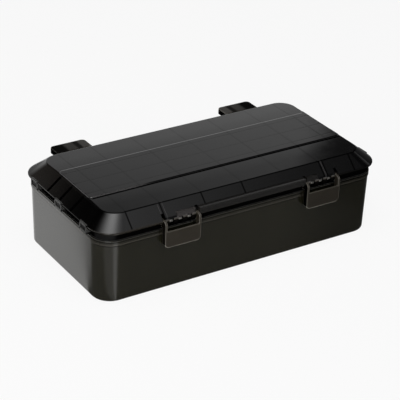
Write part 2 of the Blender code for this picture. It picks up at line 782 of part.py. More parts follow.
def latch_face():
    """The latch's outline from the front, with round lower corners."""
    quarter = math.pi / 2
    radius = LATCH_CORNER_RADIUS
    low = -LATCH_DROP + radius
    outline = [(LATCH_HALF, OVERRUN), (-LATCH_HALF, OVERRUN)]
    outline += arc(-LATCH_HALF + radius, low, radius, 2 * quarter, 3 * quarter, ARC_STEPS)
    outline += arc(LATCH_HALF - radius, low, radius, -quarter, 0.0, ARC_STEPS)
    return prism("latch_face", outline, 2 * (LATCH_PROUD + OVERRUN), front_frame())


def make_latches(material):
    """Four equal latches, each with its origin on its own pin."""
    body = latch_body()
    combine(body, latch_pocket(), "DIFFERENCE")
    combine(body, latch_hook(), "UNION")
    combine(body, latch_face(), "INTERSECT")
    combine(body, pin_hole("latch_pin_hole"), "DIFFERENCE")
    for site in LATCH_SITES:
        latch = keep(body, f"{site.name}_latch", material)
        latch.location = site_matrix(site).translation
        latch.rotation_euler = (-site.raise_angle, 0.0, site.turn)


def make_pins(material):
    """Four hinge pins, one through each latch's ears and the lid's lugs."""
    length = LATCH_WIDTH - 2 * PIN_END_GAP
    for site in LATCH_SITES:
        bar = cylinder_x("pin_bar", PIN_RADIUS, length, (0.0, 0.0, 0.0))
        pin = keep(bar, f"{site.name}_pin", material)
        pin.location = site_matrix(site).translation


def long_divider_outline():
    """The long divider seen from the front, drafted like the end walls."""
    reach = {}
    for height in (DIVIDER_FOOT, DIVIDER_TOP):
        reach[height] = RIM_HALF_LENGTH - inner_wall_inset(height) - FIT_GAP
    foot = reach[DIVIDER_FOOT] - FLOOR_ROUND
    shoulder = DIVIDER_FOOT + FLOOR_ROUND
    right = [(foot, DIVIDER_FOOT), (reach[DIVIDER_FOOT], shoulder), (reach[DIVIDER_TOP], DIVIDER_TOP)]
    left = [(-x, height) for x, height in reversed(right)]
    return right + left


def make_long_divider(material):
    """The divider along the middle, with rib pairs that take the cross dividers."""
    divider = prism("long_sheet", long_divider_outline(), DIVIDER_THICKNESS, front_frame())
    half = DIVIDER_THICKNESS / 2
    ribs = []
    for place in cross_divider_places():
        for offset in guide_pair_offsets():
            middle = place + offset
            for sign in (-1, 1):
                sides = sorted((sign * (half - FIT_GAP), sign * (half + GUIDE_DEPTH)))
                low = (middle - GUIDE_THICKNESS / 2, sides[0], DIVIDER_FOOT + EMBED)
                high = (middle + GUIDE_THICKNESS / 2, sides[1], GUIDE_TOP)
                ribs.append(box("divider_guide", low, high))
    combine(divider, gather("divider_guides", ribs), "UNION")
    return keep(divider, "long_divider", material)


def cross_divider_outline():
    """A cross divider seen from the end, from the long divider to the wall."""
    inner = DIVIDER_THICKNESS / 2 + FIT_GAP
    reach = {}
    for height in (DIVIDER_FOOT, DIVIDER_TOP):
        reach[height] = RIM_HALF_WIDTH - inner_wall_inset(height) - FIT_GAP
    return (
        (inner, DIVIDER_FOOT),
        (reach[DIVIDER_FOOT] - FLOOR_ROUND, DIVIDER_FOOT),
        (reach[DIVIDER_FOOT], DIVIDER_FOOT + FLOOR_ROUND),
        (reach[DIVIDER_TOP], DIVIDER_TOP),
        (inner, DIVIDER_TOP),
    )


def make_cross_dividers(material):
    """Five cross dividers on each side of the long one."""
    sheet = prism("cross_sheet", cross_divider_outline(), DIVIDER_THICKNESS, side_frame())
    for side, turn in (("rear", 0.0), ("front", math.pi)):
        for number, place in enumerate(cross_divider_places(), start=1):
            divider = keep(sheet, f"{side}_cross_divider_{number}", material)
            divider.location = (place, 0.0, 0.0)
            divider.rotation_euler = (0.0, 0.0, turn)


def main():
    """Build every part of the box."""
    clear_scene()
    make_collection(BOX_NAME)
    make_collection(CUTTER_COLLECTION)
    make_tub(make_material("charcoal_tub", (0.018, 0.017, 0.013), 0.45))
    make_lid(make_material("smoked_lid", (0.030, 0.030, 0.032), 0.12, alpha=0.85))
    make_seal(make_material("seal_rubber", (0.050, 0.050, 0.050), 0.80))
    make_latches(make_material("latch_plastic", (0.110, 0.098, 0.080), 0.35))
    make_pins(make_material("pin_steel", (0.600, 0.600, 0.600), 0.30, metallic=1.0))
    divider_material = make_material("divider_plastic", (0.350, 0.350, 0.340), 0.50)
    make_long_divider(divider_material)
    make_cross_dividers(divider_material)


main()
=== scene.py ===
"""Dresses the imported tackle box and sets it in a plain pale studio.

Lengths are metres. The tub stands on the floor at the origin, +X runs along the box and -Y is the front.
"""

import logging
import math
from dataclasses import dataclass
from enum import Enum
from typing import Iterable, Sequence

import bmesh
import bpy
from mathutils import Matrix, Vector


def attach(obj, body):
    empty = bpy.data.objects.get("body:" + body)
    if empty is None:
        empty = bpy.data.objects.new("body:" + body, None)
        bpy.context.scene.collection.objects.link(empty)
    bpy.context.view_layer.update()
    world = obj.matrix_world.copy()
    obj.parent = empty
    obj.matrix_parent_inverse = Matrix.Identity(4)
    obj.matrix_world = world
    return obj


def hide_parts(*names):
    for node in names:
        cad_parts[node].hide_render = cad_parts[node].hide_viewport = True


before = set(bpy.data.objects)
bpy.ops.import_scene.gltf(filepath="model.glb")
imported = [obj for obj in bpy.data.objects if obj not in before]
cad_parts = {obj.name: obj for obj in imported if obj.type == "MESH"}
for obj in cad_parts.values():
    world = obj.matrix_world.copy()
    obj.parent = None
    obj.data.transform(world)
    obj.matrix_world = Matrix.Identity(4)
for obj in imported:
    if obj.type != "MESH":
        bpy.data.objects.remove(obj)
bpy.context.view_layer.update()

LOG = logging.getLogger("tackle_box")
CORNER_STEPS = 16
ROD_SIDES = 32
MERGE_DISTANCE = 0.00004
SMOOTH_ANGLE = math.radians(34.0)
FLAT_ANGLE = math.radians(1.0)
QUARTER = math.pi / 2
MM = 0.001
FLAT_WEIGHT = 80
# Face attribute for painted highlights and paler parts, and for painted shade where it is negative.
EDGE_MARK = "edge_light"
ORDER = Vector((0.7071, 0.5123, 0.3317))
# Matt black that the finishes mix in for the lid's ribs and for painted shade.
MATT_BLACK = (0.0006, 0.0006, 0.0006)
MATT_ROUGHNESS = 0.9

Span = tuple[float, float]
Triple = tuple[float, float, float]
Colour = Triple


# Shapes


class Cut(Enum):
    """How one solid works on another."""

    TAKE = "DIFFERENCE"
    ADD = "UNION"
    KEEP = "INTERSECT"


@dataclass(frozen=True)
class Section:
    """A rounded rectangle about the upright axis, at a height."""

    half_x: float
    half_y: float
    radius: float
    height: float


@dataclass(frozen=True)
class Corner:
    """A corner of a flat outline, with the distance at which its rounding starts."""

    across: float
    up: float
    round_off: float = 0.0


def corners(*points: Sequence[float]) -> tuple[Corner, ...]:
    """Return corners from their places, each with its rounding where it has one."""
    return tuple(Corner(*point) for point in points)


class Round(Enum):
    """What a bevel rounds."""

    CORNERS = "VERTICES"
    EDGES = "EDGES"


def bevel(
    mesh: bmesh.types.BMesh, geom: Iterable, width: float, steps: int, what: Round, clamp: bool = False
) -> dict[str, list]:
    """Round corners or edges of a mesh.

    Args:
        mesh: the mesh.
        geom: the corners or edges.
        width: how far the rounding reaches.
        steps: faces across the rounding.
        what: whether corners or edges are rounded.
        clamp: whether the width is held back where roundings would meet.

    Returns:
        What the operator made.
    """
    return bmesh.ops.bevel(
        mesh,
        geom=list(geom),
        offset=width,
        offset_type="OFFSET",
        affect=what.value,
        segments=steps,
        profile=0.5,
        material=-1,
        clamp_overlap=clamp,
    )


def settle(mesh: bmesh.types.BMesh) -> None:
    """Put a mesh's elements in an order that is the same in every run, which a bevel doesn't do.

    Args:
        mesh: the mesh.
    """
    mesh.verts.sort(key=lambda vert: vert.co.dot(ORDER))
    mesh.edges.sort(key=lambda edge: (edge.verts[0].co + edge.verts[1].co).dot(ORDER))
    mesh.faces.sort(key=lambda face: face.calc_center_median().dot(ORDER))
    for items in (mesh.verts, mesh.edges, mesh.faces):
        items.index_update()


class Blank:
    """A solid that is being shaped with mesh operators."""

    def __init__(self, name: str) -> None:
        """Start an empty blank."""
        self.name = name
        self.mesh = bmesh.new()

    def ring(self, section: Section) -> bmesh.types.BMFace:
        """Lay one rounded rectangle as a single face.

        Args:
            section: its size and height.

        Returns:
            The face.
        """
        quad = bmesh.ops.create_grid(self.mesh, x_segments=1, y_segments=1, size=1.0)["verts"]
        bmesh.ops.scale(self.mesh, vec=(section.half_x, section.half_y, 1.0), verts=quad)
        bmesh.ops.translate(self.mesh, vec=(0.0, 0.0, section.height), verts=quad)
        rounded = bevel(self.mesh, quad, section.radius, CORNER_STEPS, Round.CORNERS)
        return rounded["verts"][0].link_faces[0]

    def stack(self, sections: Sequence[Section]) -> "Blank":
        """Skin a row of sections, closed at its first and last one.

        The rings are joined quad by quad, because bridge_loops twists rings that lie in one plane.

        Args:
            sections: the sections, in order along the surface.

        Returns:
            This blank.
        """
        faces = [self.ring(section) for section in sections]
        loops = [sorted(face.verts, key=lambda vert: math.atan2(vert.co.y, vert.co.x)) for face in faces]
        bmesh.ops.delete(self.mesh, geom=faces[1:-1], context="FACES_ONLY")
        for lower, upper in zip(loops, loops[1:]):
            for first, second in zip(range(-1, len(lower) - 1), range(len(lower))):
                self.mesh.faces.new((lower[first], lower[second], upper[second], upper[first]))
        return self.outward()

    def slab(self, low: Sequence[float], high: Sequence[float], soften: float = 0.0) -> "Blank":
        """Add a box between two corners.

        Args:
            low: its lowest corner.
            high: its highest corner.
            soften: how far its edges are rounded.

        Returns:
            This blank.
        """
        verts = bmesh.ops.create_cube(self.mesh, size=1.0)["verts"]
        bmesh.ops.scale(self.mesh, vec=[b - a for a, b in zip(low, high)], verts=verts)
        bmesh.ops.translate(self.mesh, vec=[(a + b) / 2 for a, b in zip(low, high)], verts=verts)
        if soften:
            edges = dict.fromkeys(edge for vert in verts for edge in vert.link_edges)
            self.round_edges(edges, soften)
        return self

    def bar(self, outline: Sequence[Corner], thickness: float, place: Matrix, steps: int) -> "Blank":
        """Add a flat outline with rounded corners, drawn out evenly to both sides.

        Args:
            outline: its corners in order.
            thickness: how thick it is.
            place: where the outline's plane goes.
            steps: faces round each corner.

        Returns:
            This blank.
        """
        verts = [self.mesh.verts.new((corner.across, corner.up, -thickness / 2)) for corner in outline]
        sides = [self.mesh.edges.new(pair) for pair in zip(verts, verts[1:] + verts[:1])]
        bmesh.ops.edgeloop_fill(self.mesh, edges=sides)
        body = list(verts)
        for amount in sorted({corner.round_off for corner in outline} - {0.0}):
            chosen = [vert for vert, corner in zip(verts, outline) if corner.round_off == amount]
            made = bevel(self.mesh, chosen, amount, steps, Round.CORNERS)
            body = [vert for vert in body if vert.is_valid] + made["verts"]
        face = next(vert for vert in body if vert.is_valid).link_faces[0]
        drawn = bmesh.ops.extrude_face_region(self.mesh, geom=[face])["geom"]
        moved = [item for item in drawn if isinstance(item, bmesh.types.BMVert)]
        bmesh.ops.translate(self.mesh, vec=(0.0, 0.0, thickness), verts=moved)
        whole = list(dict.fromkeys([*moved, *face.verts]))
        bmesh.ops.transform(self.mesh, matrix=place, verts=whole)
        return self

    def rod(self, radius: float, length: float) -> "Blank":
        """Add a round bar along X, about the origin.

        Args:
            radius: its radius.
            length: its length.

        Returns:
            This blank.
        """
        sizes = {"radius1": radius, "radius2": radius, "depth": length}
        turn = Matrix.Rotation(QUARTER, 4, "Y")
        bmesh.ops.create_cone(self.mesh, cap_ends=True, segments=ROD_SIDES, matrix=turn, **sizes)
        return self

    def round_edges(self, edges: Iterable[bmesh.types.BMEdge], width: float, steps: int = 2) -> None:
        """Round some edges, held back where roundings would meet."""
        bevel(self.mesh, edges, width, steps, Round.EDGES, clamp=True)

    def outward(self) -> "Blank":
        """Turn every face outward."""
        bmesh.ops.recalc_face_normals(self.mesh, faces=self.mesh.faces)
        return self

    def move(self, place: Matrix) -> "Blank":
        """Move everything made so far."""
        bmesh.ops.transform(self.mesh, matrix=place, verts=self.mesh.verts)
        return self

    def finish(self) -> bpy.types.Object:
        """Close the blank and make it an object.

        Returns:
            The object, at the origin.
        """
        self.outward()
        settle(self.mesh)
        mesh = bpy.data.meshes.new(self.name)
        self.mesh.to_mesh(mesh)
        self.mesh.free()
        made = bpy.data.objects.new(self.name, mesh)
        bpy.context.scene.collection.objects.link(made)
        return made


def carve(work: bpy.types.Object, tool: bpy.types.Object, cut: Cut) -> bpy.types.Object:
    """Work one solid with another and throw the tool away.

    Args:
        work: the solid that stays.
        tool: the solid that cuts, adds or limits.
        cut: which of these it does.

    Returns:
        The worked solid.
    """
    modifier = work.modifiers.new("carve", "BOOLEAN")
    modifier.operation = cut.value
    modifier.solver = "EXACT"
    modifier.object = tool
    graph = bpy.context.evaluated_depsgraph_get()
    mesh = bpy.data.meshes.new_from_object(work.evaluated_get(graph))
    work.modifiers.clear()
    old = work.data
    work.data = mesh
    mesh.name = work.name
    bpy.data.meshes.remove(old)
    drop(tool)
    return work


def drop(item: bpy.types.Object) -> None:
    """Remove a working object and its mesh.

    Args:
        item: the object.
    """
    mesh = item.data
    bpy.data.objects.remove(item, do_unlink=True)
    bpy.data.meshes.remove(mesh)


def join(work: bpy.types.Object, parts: Iterable[bpy.types.Object]) -> bpy.types.Object:
    """Put the meshes of some parts into one object, as shells that overlap.

    Args:
        work: the object that takes them.
        parts: the objects that go into it.

    Returns:
        The object.
    """
    shape = bmesh.new()
    shape.from_mesh(work.data)
    for part in parts:
        shape.from_mesh(part.data)
        drop(part)
    shape.to_mesh(work.data)
    shape.free()
    return work


def smooth(work: bpy.types.Object) -> bpy.types.Object:
    """Shade an object smooth between its sharp edges and keep its large faces flat.

    Args:
        work: the object.

    Returns:
        The object.
    """
    work.data.shade_smooth()
    work.data.set_sharp_from_angle(angle=SMOOTH_ANGLE)
    weighted = work.modifiers.new("flat_faces", "WEIGHTED_NORMAL")
    weighted.keep_sharp = True
    weighted.weight = FLAT_WEIGHT
    return work


def side_plane(x: float = 0.0) -> Matrix:
    """Return the frame that stands an outline of (y, height) upright at x."""
    return Matrix.Translation((x, 0.0, 0.0)) @ Matrix(((0, 0, 1), (1, 0, 0), (0, 1, 0))).to_4x4()


def front_plane(y: float = 0.0) -> Matrix:
    """Return the frame that stands an outline of (x, height) upright at y."""
    return Matrix.Translation((0.0, y, 0.0)) @ Matrix.Rotation(QUARTER, 4, "X")


# Places


@dataclass(frozen=True)
class Rim:
    """The outline that the tub and the lid share."""

    half_x: float = 0.1704
    half_y: float = 0.0846
    radius: float = 0.0226
    tub_height: float = 0.0710

    def at(self, inset: float, height: float) -> Section:
        """Return the rim's outline drawn in by inset, at a height."""
        return Section(self.half_x - inset, self.half_y - inset, self.radius - inset, height)


@dataclass(frozen=True)
class Site:
    """Where a latch sits, which body carries it and how far it is raised."""

    name: str
    x: float
    turn: float
    raised: float

    def hinge(self) -> Matrix:
        """Return the latch's own frame, with its pin at the origin and its front at -Y."""
        reach = Matrix.Translation((0.0, -PIN_REACH, PIN_HEIGHT))
        return Matrix.Translation((self.x, 0.0, 0.0)) @ Matrix.Rotation(self.turn, 4, "Z") @ reach

    def latch(self) -> Matrix:
        """Return the latch's frame at rest, raised as it is in the photo."""
        return self.hinge() @ Matrix.Rotation(-self.raised, 4, "X")


PIN_REACH = 0.0820
PIN_HEIGHT = 0.0770
SITES = (
    Site("front_left", -0.0800, 0.0, 0.0),
    Site("front_right", 0.0936, 0.0, 0.0),
    Site("rear_left", -0.1073, math.pi, QUARTER),
    Site("rear_right", 0.1073, math.pi, QUARTER),
)


@dataclass(frozen=True)
class Levels:
    """The lid's heights and the ends of its ledge, which its shape and its finish share."""

    foot: float = 0.0660
    step: float = 0.0713
    skirt_height: float = 0.0080
    edge: float = 0.0019
    rise: float = 0.0142
    ledge_rise: float = 0.0069
    ledge_span: Span = (-0.0842, 0.0888)

    @property
    def under(self) -> float:
        """Return the height of the flange's underside."""
        return self.step + self.skirt_height

    @property
    def edge_top(self) -> float:
        """Return the height at which the chamfers start."""
        return self.under + self.edge

    @property
    def top(self) -> float:
        """Return the height at which the chamfers end."""
        return self.edge_top + self.rise

    @property
    def ledge_top(self) -> float:
        """Return the height of the ledge's top."""
        return self.under + self.ledge_rise


def show(piece: bpy.types.Object, node: str, body: str, material: bpy.types.Material) -> None:
    """Put a finished piece in its CAD node's place.

    Args:
        piece: the new piece.
        node: the node that it stands for.
        body: the body that it rides on.
        material: its finish.
    """
    piece.data.materials.clear()
    piece.data.materials.append(material)
    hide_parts(node)
    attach(piece, body)
    LOG.info("%s stands for %s", piece.name, node)


# Shader maths


class Term:
    """A socket that takes part in an expression."""

    def __init__(self, recipe: "Recipe", socket: bpy.types.NodeSocket) -> None:
        """Wrap a socket of a recipe."""
        self.recipe = recipe
        self.socket = socket

    def maths(self, operation: str, *others: "Term | float") -> "Term":
        """Put this term through a Math node."""
        inputs = dict(enumerate((self, *others)))
        return self.recipe.term("ShaderNodeMath", {"operation": operation}, inputs)

    def __add__(self, other: "Term | float") -> "Term":
        """Add."""
        return self.maths("ADD", other)

    __radd__ = __add__

    def __mul__(self, other: "Term | float") -> "Term":
        """Multiply."""
        return self.maths("MULTIPLY", other)

    __rmul__ = __mul__

    def __sub__(self, other: "Term | float") -> "Term":
        """Subtract."""
        return self.maths("SUBTRACT", other)

    def __rsub__(self, other: float) -> "Term":
        """Subtract this term from a number."""
        return self.maths("MULTIPLY", -1.0) + other

    def __truediv__(self, other: "Term | float") -> "Term":
        """Divide."""
        return self.maths("DIVIDE", other)

    def size(self) -> "Term":
        """Return the absolute value."""
        return self.maths("ABSOLUTE")

    def least(self, other: "Term | float") -> "Term":
        """Return the smaller of two."""
        return self.maths("MINIMUM", other)

    def most(self, other: "Term | float") -> "Term":
        """Return the larger of two."""
        return self.maths("MAXIMUM", other)

    def near(self, middle: float, outer: float, inner: float) -> "Term":
        """Return 1 within inner of a middle, falling to 0 at outer."""
        return (self - middle).size().ramp(outer, inner)

    def to_nearest(self, pitch: float) -> "Term":
        """Return the distance to the nearest multiple of a pitch."""
        return self.maths("PINGPONG", pitch / 2)

    def ramp(self, low: float, high: float) -> "Term":
        """Return a smooth rise from 0 at one value to 1 at another.

        Args:
            low: where the rise is 0.
            high: where the rise is 1, which may be the smaller value.

        Returns:
            The rise.
        """
        if low < high:
            return self._rise(low, high)
        return 1.0 - self._rise(high, low)

    def _rise(self, low: float, high: float) -> "Term":
        """Return a smooth step between two rising limits."""
        settings = {"interpolation_type": "SMOOTHSTEP"}
        return self.recipe.term("ShaderNodeMapRange", settings, {0: self, 1: low, 2: high, 3: 0.0, 4: 1.0})


class Recipe:
    """A material's nodes, written as expressions."""

    def __init__(self, name: str, tree: bpy.types.NodeTree | None = None) -> None:
        """Start a material, or go on with a tree that is given.

        Args:
            name: the material's name.
            tree: an existing tree, as the world's.
        """
        self.material = None
        if tree is None:
            self.material = bpy.data.materials.new(name)
            self.material.use_nodes = True
            tree = self.material.node_tree
        self.tree = tree
        self.tree.nodes.clear()

    def node(self, kind: str, settings: dict | None = None, inputs: dict | None = None) -> bpy.types.Node:
        """Add a node.

        Args:
            kind: the node's type.
            settings: its settings, which are set first.
            inputs: values or terms for its sockets, by name or number.

        Returns:
            The node.
        """
        made = self.tree.nodes.new(kind)
        for key, value in (settings or {}).items():
            setattr(made, key, value)
        for key, value in (inputs or {}).items():
            if isinstance(value, Term):
                self.tree.links.new(value.socket, made.inputs[key])
            elif isinstance(value, tuple) and len(value) == 3 and made.inputs[key].type == "RGBA":
                made.inputs[key].default_value = (*value, 1.0)
            else:
                made.inputs[key].default_value = value
        return made

    def term(
        self, kind: str, settings: dict | None = None, inputs: dict | None = None, output: int | str = 0
    ) -> Term:
        """Add a node and return one of its outputs."""
        return Term(self, self.node(kind, settings, inputs).outputs[output])

    def split(self, whole: Term) -> tuple[Term, ...]:
        """Return a vector's x, y and z."""
        parts = self.node("ShaderNodeSeparateXYZ", None, {0: whole}).outputs
        return tuple(Term(self, part) for part in parts)

    def place(self) -> "Place":
        """Return the point's place on the object."""
        whole = self.term("ShaderNodeTexCoord", output="Object")
        return Place(whole, *self.split(whole))

    def rays(self, *kinds: str) -> tuple[Term, ...]:
        """Return whether the ray is of each of some kinds."""
        paths = self.node("ShaderNodeLightPath")
        return tuple(Term(self, paths.outputs[f"Is {kind} Ray"]) for kind in kinds)

    def mark(self) -> Term:
        """Return the value that a piece's faces carry as their edge mark."""
        return self.term("ShaderNodeAttribute", {"attribute_name": EDGE_MARK}, None, output="Fac")

    def noise(self, place: Term, scale: float, detail: float = 2.0, roughness: float = 0.5) -> Term:
        """Return a noise between 0 and 1, with its layers of detail and their strength."""
        inputs = {"Vector": place, "Scale": scale, "Detail": detail, "Roughness": roughness}
        return self.term("ShaderNodeTexNoise", None, inputs)

    def stretched(self, place: Term, scale: Triple) -> Term:
        """Return the place with each axis scaled."""
        return self.term("ShaderNodeVectorMath", {"operation": "MULTIPLY"}, {0: place, 1: scale})

    def blend(self, share: Term | float, first: Term | Colour, second: Term | Colour) -> Term:
        """Return a colour between two, with a share of the second."""
        return self.term("ShaderNodeMix", {"data_type": "RGBA"}, {0: share, 6: first, 7: second}, output=2)

    def paint(self, base: Term, layers: Iterable[tuple[Term, Colour]]) -> Term:
        """Lay colours over a base in order.

        Args:
            base: the colour underneath.
            layers: each colour, after the mask that it shows by.

        Returns:
            The colour.
        """
        for share, colour in layers:
            base = self.blend(share, base, colour)
        return base

    def bump(self, height: Term, depth: float, strength: float = 1.0, under: Term | None = None) -> Term:
        """Return a normal bent by a height.

        Args:
            height: the height, from 0 to 1.
            depth: how deep 1 is, in metres.
            strength: how strongly it shows.
            under: a normal that it goes over.

        Returns:
            The normal.
        """
        inputs = {"Height": height, "Distance": depth, "Strength": strength}
        if under is not None:
            inputs["Normal"] = under
        return self.term("ShaderNodeBump", None, inputs, output="Normal")

    def surface(self, black: Term | float = 0.0, **inputs: Term | float | Colour) -> bpy.types.Material:
        """End the material with a Principled shader.

        Args:
            black: how much of the surface is matt black instead.
            inputs: its sockets, with underscores for spaces.

        Returns:
            The material.
        """
        sockets = {name.replace("_", " "): value for name, value in inputs.items()}
        shader = self.term("ShaderNodeBsdfPrincipled", None, sockets)
        if isinstance(black, Term):
            matt = {"Base Color": MATT_BLACK, "Roughness": MATT_ROUGHNESS, "Specular IOR Level": 0.0}
            dark = self.term("ShaderNodeBsdfPrincipled", None, matt)
            shader = self.term("ShaderNodeMixShader", None, {0: black, 1: shader, 2: dark})
        self.node("ShaderNodeOutputMaterial", None, {0: shader})
        return self.material

    def satin(
        self, colour: Term, roughness: Term, shine: float, normal: Term, black: Term | float
    ) -> bpy.types.Material:
        """End the material with a surface whose gloss is held back or raised."""
        look = {"Base_Color": colour, "Roughness": roughness, "Specular_IOR_Level": shine}
        return self.surface(black, Normal=normal, **look)


@dataclass(frozen=True)
class Place:
    """A point's place on its object, whole and as x along the box, y across it and the height z."""

    whole: Term
    x: Term
    y: Term
    z: Term


# Finishes


@dataclass(frozen=True)
class LidZones:
    """The masks of the lid's regions, which its colour and its dullness share."""

    outer: Term
    rib: Term
    ledge: Term
    brim: Term
    recess: Term
    flange: Term
    # Where the flange's top edge at the ends carries a painted highlight.
    tip: Term
    lug: Term


@dataclass(frozen=True)
class SmokedPlastic:
    """Polished smoked plastic that shows the ribs moulded under it, with painted highlights and painted
    shade.
    """

    levels: Levels = Levels()
    name: str = "smoked_lid"
    body: Colour = (0.0020, 0.0020, 0.0022)
    rib: Colour = (0.0004, 0.0004, 0.0004)
    edge: Colour = (0.014, 0.011, 0.007)
    # The ledge's face is painted paler than the body, standing for the light it reflects, and paler still at
    # its left end as a painted highlight.
    ledge: Colour = (0.0150, 0.0142, 0.0135)
    ledge_highlight: Colour = (0.045, 0.041, 0.040)
    brim: Colour = (0.012, 0.0114, 0.0104)
    # Painted highlight line along the band's front edge.
    band_highlight: Colour = (0.060, 0.058, 0.058)
    # Painted highlight along the top edge of the flange at the ends.
    tip: Colour = (0.034, 0.033, 0.030)
    # Paler knuckles: thin smoked plastic, with a painted highlight on their fronts.
    lug: Colour = (0.052, 0.046, 0.038)
    # Colour of painted highlight lines.
    glint: Colour = (0.030, 0.029, 0.029)
    # The end chamfers are painted near black at the front as painted shade, and a lighter brown towards the
    # rear as painted light.
    end_front_shade: Colour = (0.0007, 0.0006, 0.0006)
    end: Colour = (0.0100, 0.0080, 0.0062)
    rib_pitch: float = 0.0490
    rib_run: Span = (0.1200, 0.1210)
    rib_width: Span = (0.00110, 0.00044)
    outer_rib: float = 0.1370
    second_rib: float = 0.1024
    second_rib_fade: Span = (-0.0730, -0.0700)
    faint_rib: float = 0.0490
    faint_rib_width: Span = (0.0030, 0.0020)
    long_pitch: float = 0.0245
    long_run: Span = (0.0360, 0.0370)
    rib_ends: Span = (0.1500, 0.1520)
    rib_end_growth: float = 0.0010
    core: Span = (0.1478, 0.0620)
    face_reach: Span = (0.0244, 0.0250)
    ridge_core: Span = (0.1394, 0.0551)
    ridge_reach: float = 0.01745
    ridge_fade: Span = (-0.0480, -0.0580)
    flange_ends: Span = (0.1628, 0.1718)
    ledge_back: Span = (-0.0822, -0.0824)
    ledge_highlight_run: Span = (0.0215, 0.0205)
    brim_front: Span = (-0.0872, -0.0876)
    front_chamfer: Span = (-0.0710, -0.0730)
    glint_chamfer: Span = (-0.0700, -0.0730)
    glints: tuple[Span, ...] = ((-0.1008, 0.0007), (-0.0953, 0.0007), (0.1002, 0.0013))
    band_front: float = 0.0350
    band_end: float = 0.1552
    band_run: Span = (0.0340, 0.0310)
    band_highlight_offset: float = 0.0019
    band_highlight_run: Span = (-0.0800, -0.1050)
    top_ends: Span = (0.1545, 0.1565)
    shadow_line_ends: Span = (0.1545, 0.1525)
    end_run: Span = (-0.0450, 0.0600)
    edge_run: Span = (0.1500, 0.1000)
    edge_dark_run: Span = (0.0600, 0.1100)
    corner_x: Span = (-0.1500, -0.1580)
    corner_y: Span = (-0.0620, -0.0700)
    left_end: Span = (-0.1545, -0.1565)
    left_end_front: Span = (-0.0690, -0.0600)
    far_corner_y: Span = (0.0600, 0.0720)
    cloud: float = 22.0
    haze: float = 60.0
    ripple: float = 35.0
    ripple_depth: float = 0.00003
    rib_depth: float = 0.000012

    def ribs(self, at: Place) -> Term:
        """Return the mask of the ribs under the top and the chamfers.

        Args:
            at: the point's place.

        Returns:
            The mask.
        """
        x, y, ends = at.x, at.y, at.x.size()
        second = (x - self.second_rib).size() + y.ramp(*self.second_rib_fade)
        across = x.to_nearest(self.rib_pitch) + ends.ramp(*self.rib_run)
        across = across.least((ends - self.outer_rib).size()).least(second)
        along = y.to_nearest(self.long_pitch) + y.size().ramp(*self.long_run)
        along = along - ends.ramp(*self.rib_ends) * self.rib_end_growth
        return across.least(along).ramp(*self.rib_width)

    @staticmethod
    def reach(at: Place, core: Span) -> Term:
        """Return how far a point lies outside a core.

        Args:
            at: the point's place.
            core: half the length and width of the core that the corners turn about.

        Returns:
            The distance.
        """
        out_x = (at.x.size() - core[0]).most(0.0)
        out_y = (at.y.size() - core[1]).most(0.0)
        return (out_x * out_x + out_y * out_y).maths("SQRT")

    def zones(self, recipe: Recipe, at: Place) -> LidZones:
        """Return the masks of the lid's regions.

        Args:
            recipe: the material's nodes.
            at: the point's place.

        Returns:
            The masks.
        """
        x, y, z = at.x, at.y, at.z
        under, edge_top, step = self.levels.under, self.levels.edge_top, self.levels.step
        left, right = self.levels.ledge_span
        outer = self.reach(at, self.core).ramp(*self.face_reach)
        span = x.ramp(left - 0.4 * MM, left) * x.ramp(right + 0.4 * MM, right)
        ledge = span * y.ramp(*self.ledge_back) * z.ramp(under - 0.2 * MM, under)
        brim_height = z.ramp(self.levels.ledge_top - 0.8 * MM, self.levels.ledge_top - 0.3 * MM)
        faint = x.near(self.faint_rib, *self.faint_rib_width) * y.ramp(*self.front_chamfer)
        rib = self.ribs(at) * z.ramp(edge_top, edge_top + 0.8 * MM)
        side = x.size().ramp(*self.flange_ends) * outer
        tip_height = z.ramp(edge_top - 0.4 * MM, edge_top - 0.1 * MM)
        return LidZones(
            outer=outer,
            rib=rib * (1.0 - ledge) * (1.0 - faint),
            ledge=ledge,
            brim=span * y.ramp(*self.brim_front) * brim_height,
            recess=z.ramp(under, under - 0.3 * MM) * z.ramp(step - 1.0 * MM, step),
            flange=side * z.ramp(edge_top + 0.4 * MM, edge_top),
            tip=side * tip_height * z.ramp(edge_top + 0.5 * MM, edge_top + 0.2 * MM),
            lug=recipe.mark(),
        )

    def lines(self, at: Place) -> Term:
        """Return the mask of the painted highlight lines at the band's ends and on the front chamfer.

        Args:
            at: the point's place.

        Returns:
            The mask.
        """
        x, y, z = at.x, at.y, at.z
        top, edge_top = self.levels.top, self.levels.edge_top
        chamfer = y.ramp(*self.glint_chamfer) * z.ramp(edge_top + 0.4 * MM, edge_top + 1.0 * MM)
        line = x.size().near(self.band_end, 0.7 * MM, 0.2 * MM) * y.size().ramp(*self.band_run)
        line = line * z.ramp(top - 0.4 * MM, top)
        for middle, half in self.glints:
            line = line.most(x.near(middle, half, half * 0.3) * chamfer * 0.8)
        return line

    def colour(self, recipe: Recipe, at: Place, zones: LidZones) -> Term:
        """Return the lid's colour.

        Args:
            recipe: the material's nodes.
            at: the point's place.
            zones: the masks of the lid's regions.

        Returns:
            The colour.
        """
        x, y, z, levels = at.x, at.y, at.z, self.levels
        cloud = recipe.noise(at.whole, self.cloud, 3.0)
        above = z.ramp(levels.under - 0.4 * MM, levels.under)
        edge = zones.outer * above * z.ramp(levels.edge_top + 0.8 * MM, levels.edge_top + 0.1 * MM)
        # Painted highlight along the band's front edge, at its left end.
        band_highlight = y.near(self.band_highlight_offset - self.band_front, 1.2 * MM, 0.6 * MM)
        band_highlight = band_highlight * z.ramp(levels.top, levels.top + 0.3 * MM) * x.ramp(*self.band_highlight_run)
        # Painted highlight on the ledge's left end.
        lit = (x - levels.ledge_span[0]).ramp(*self.ledge_highlight_run)
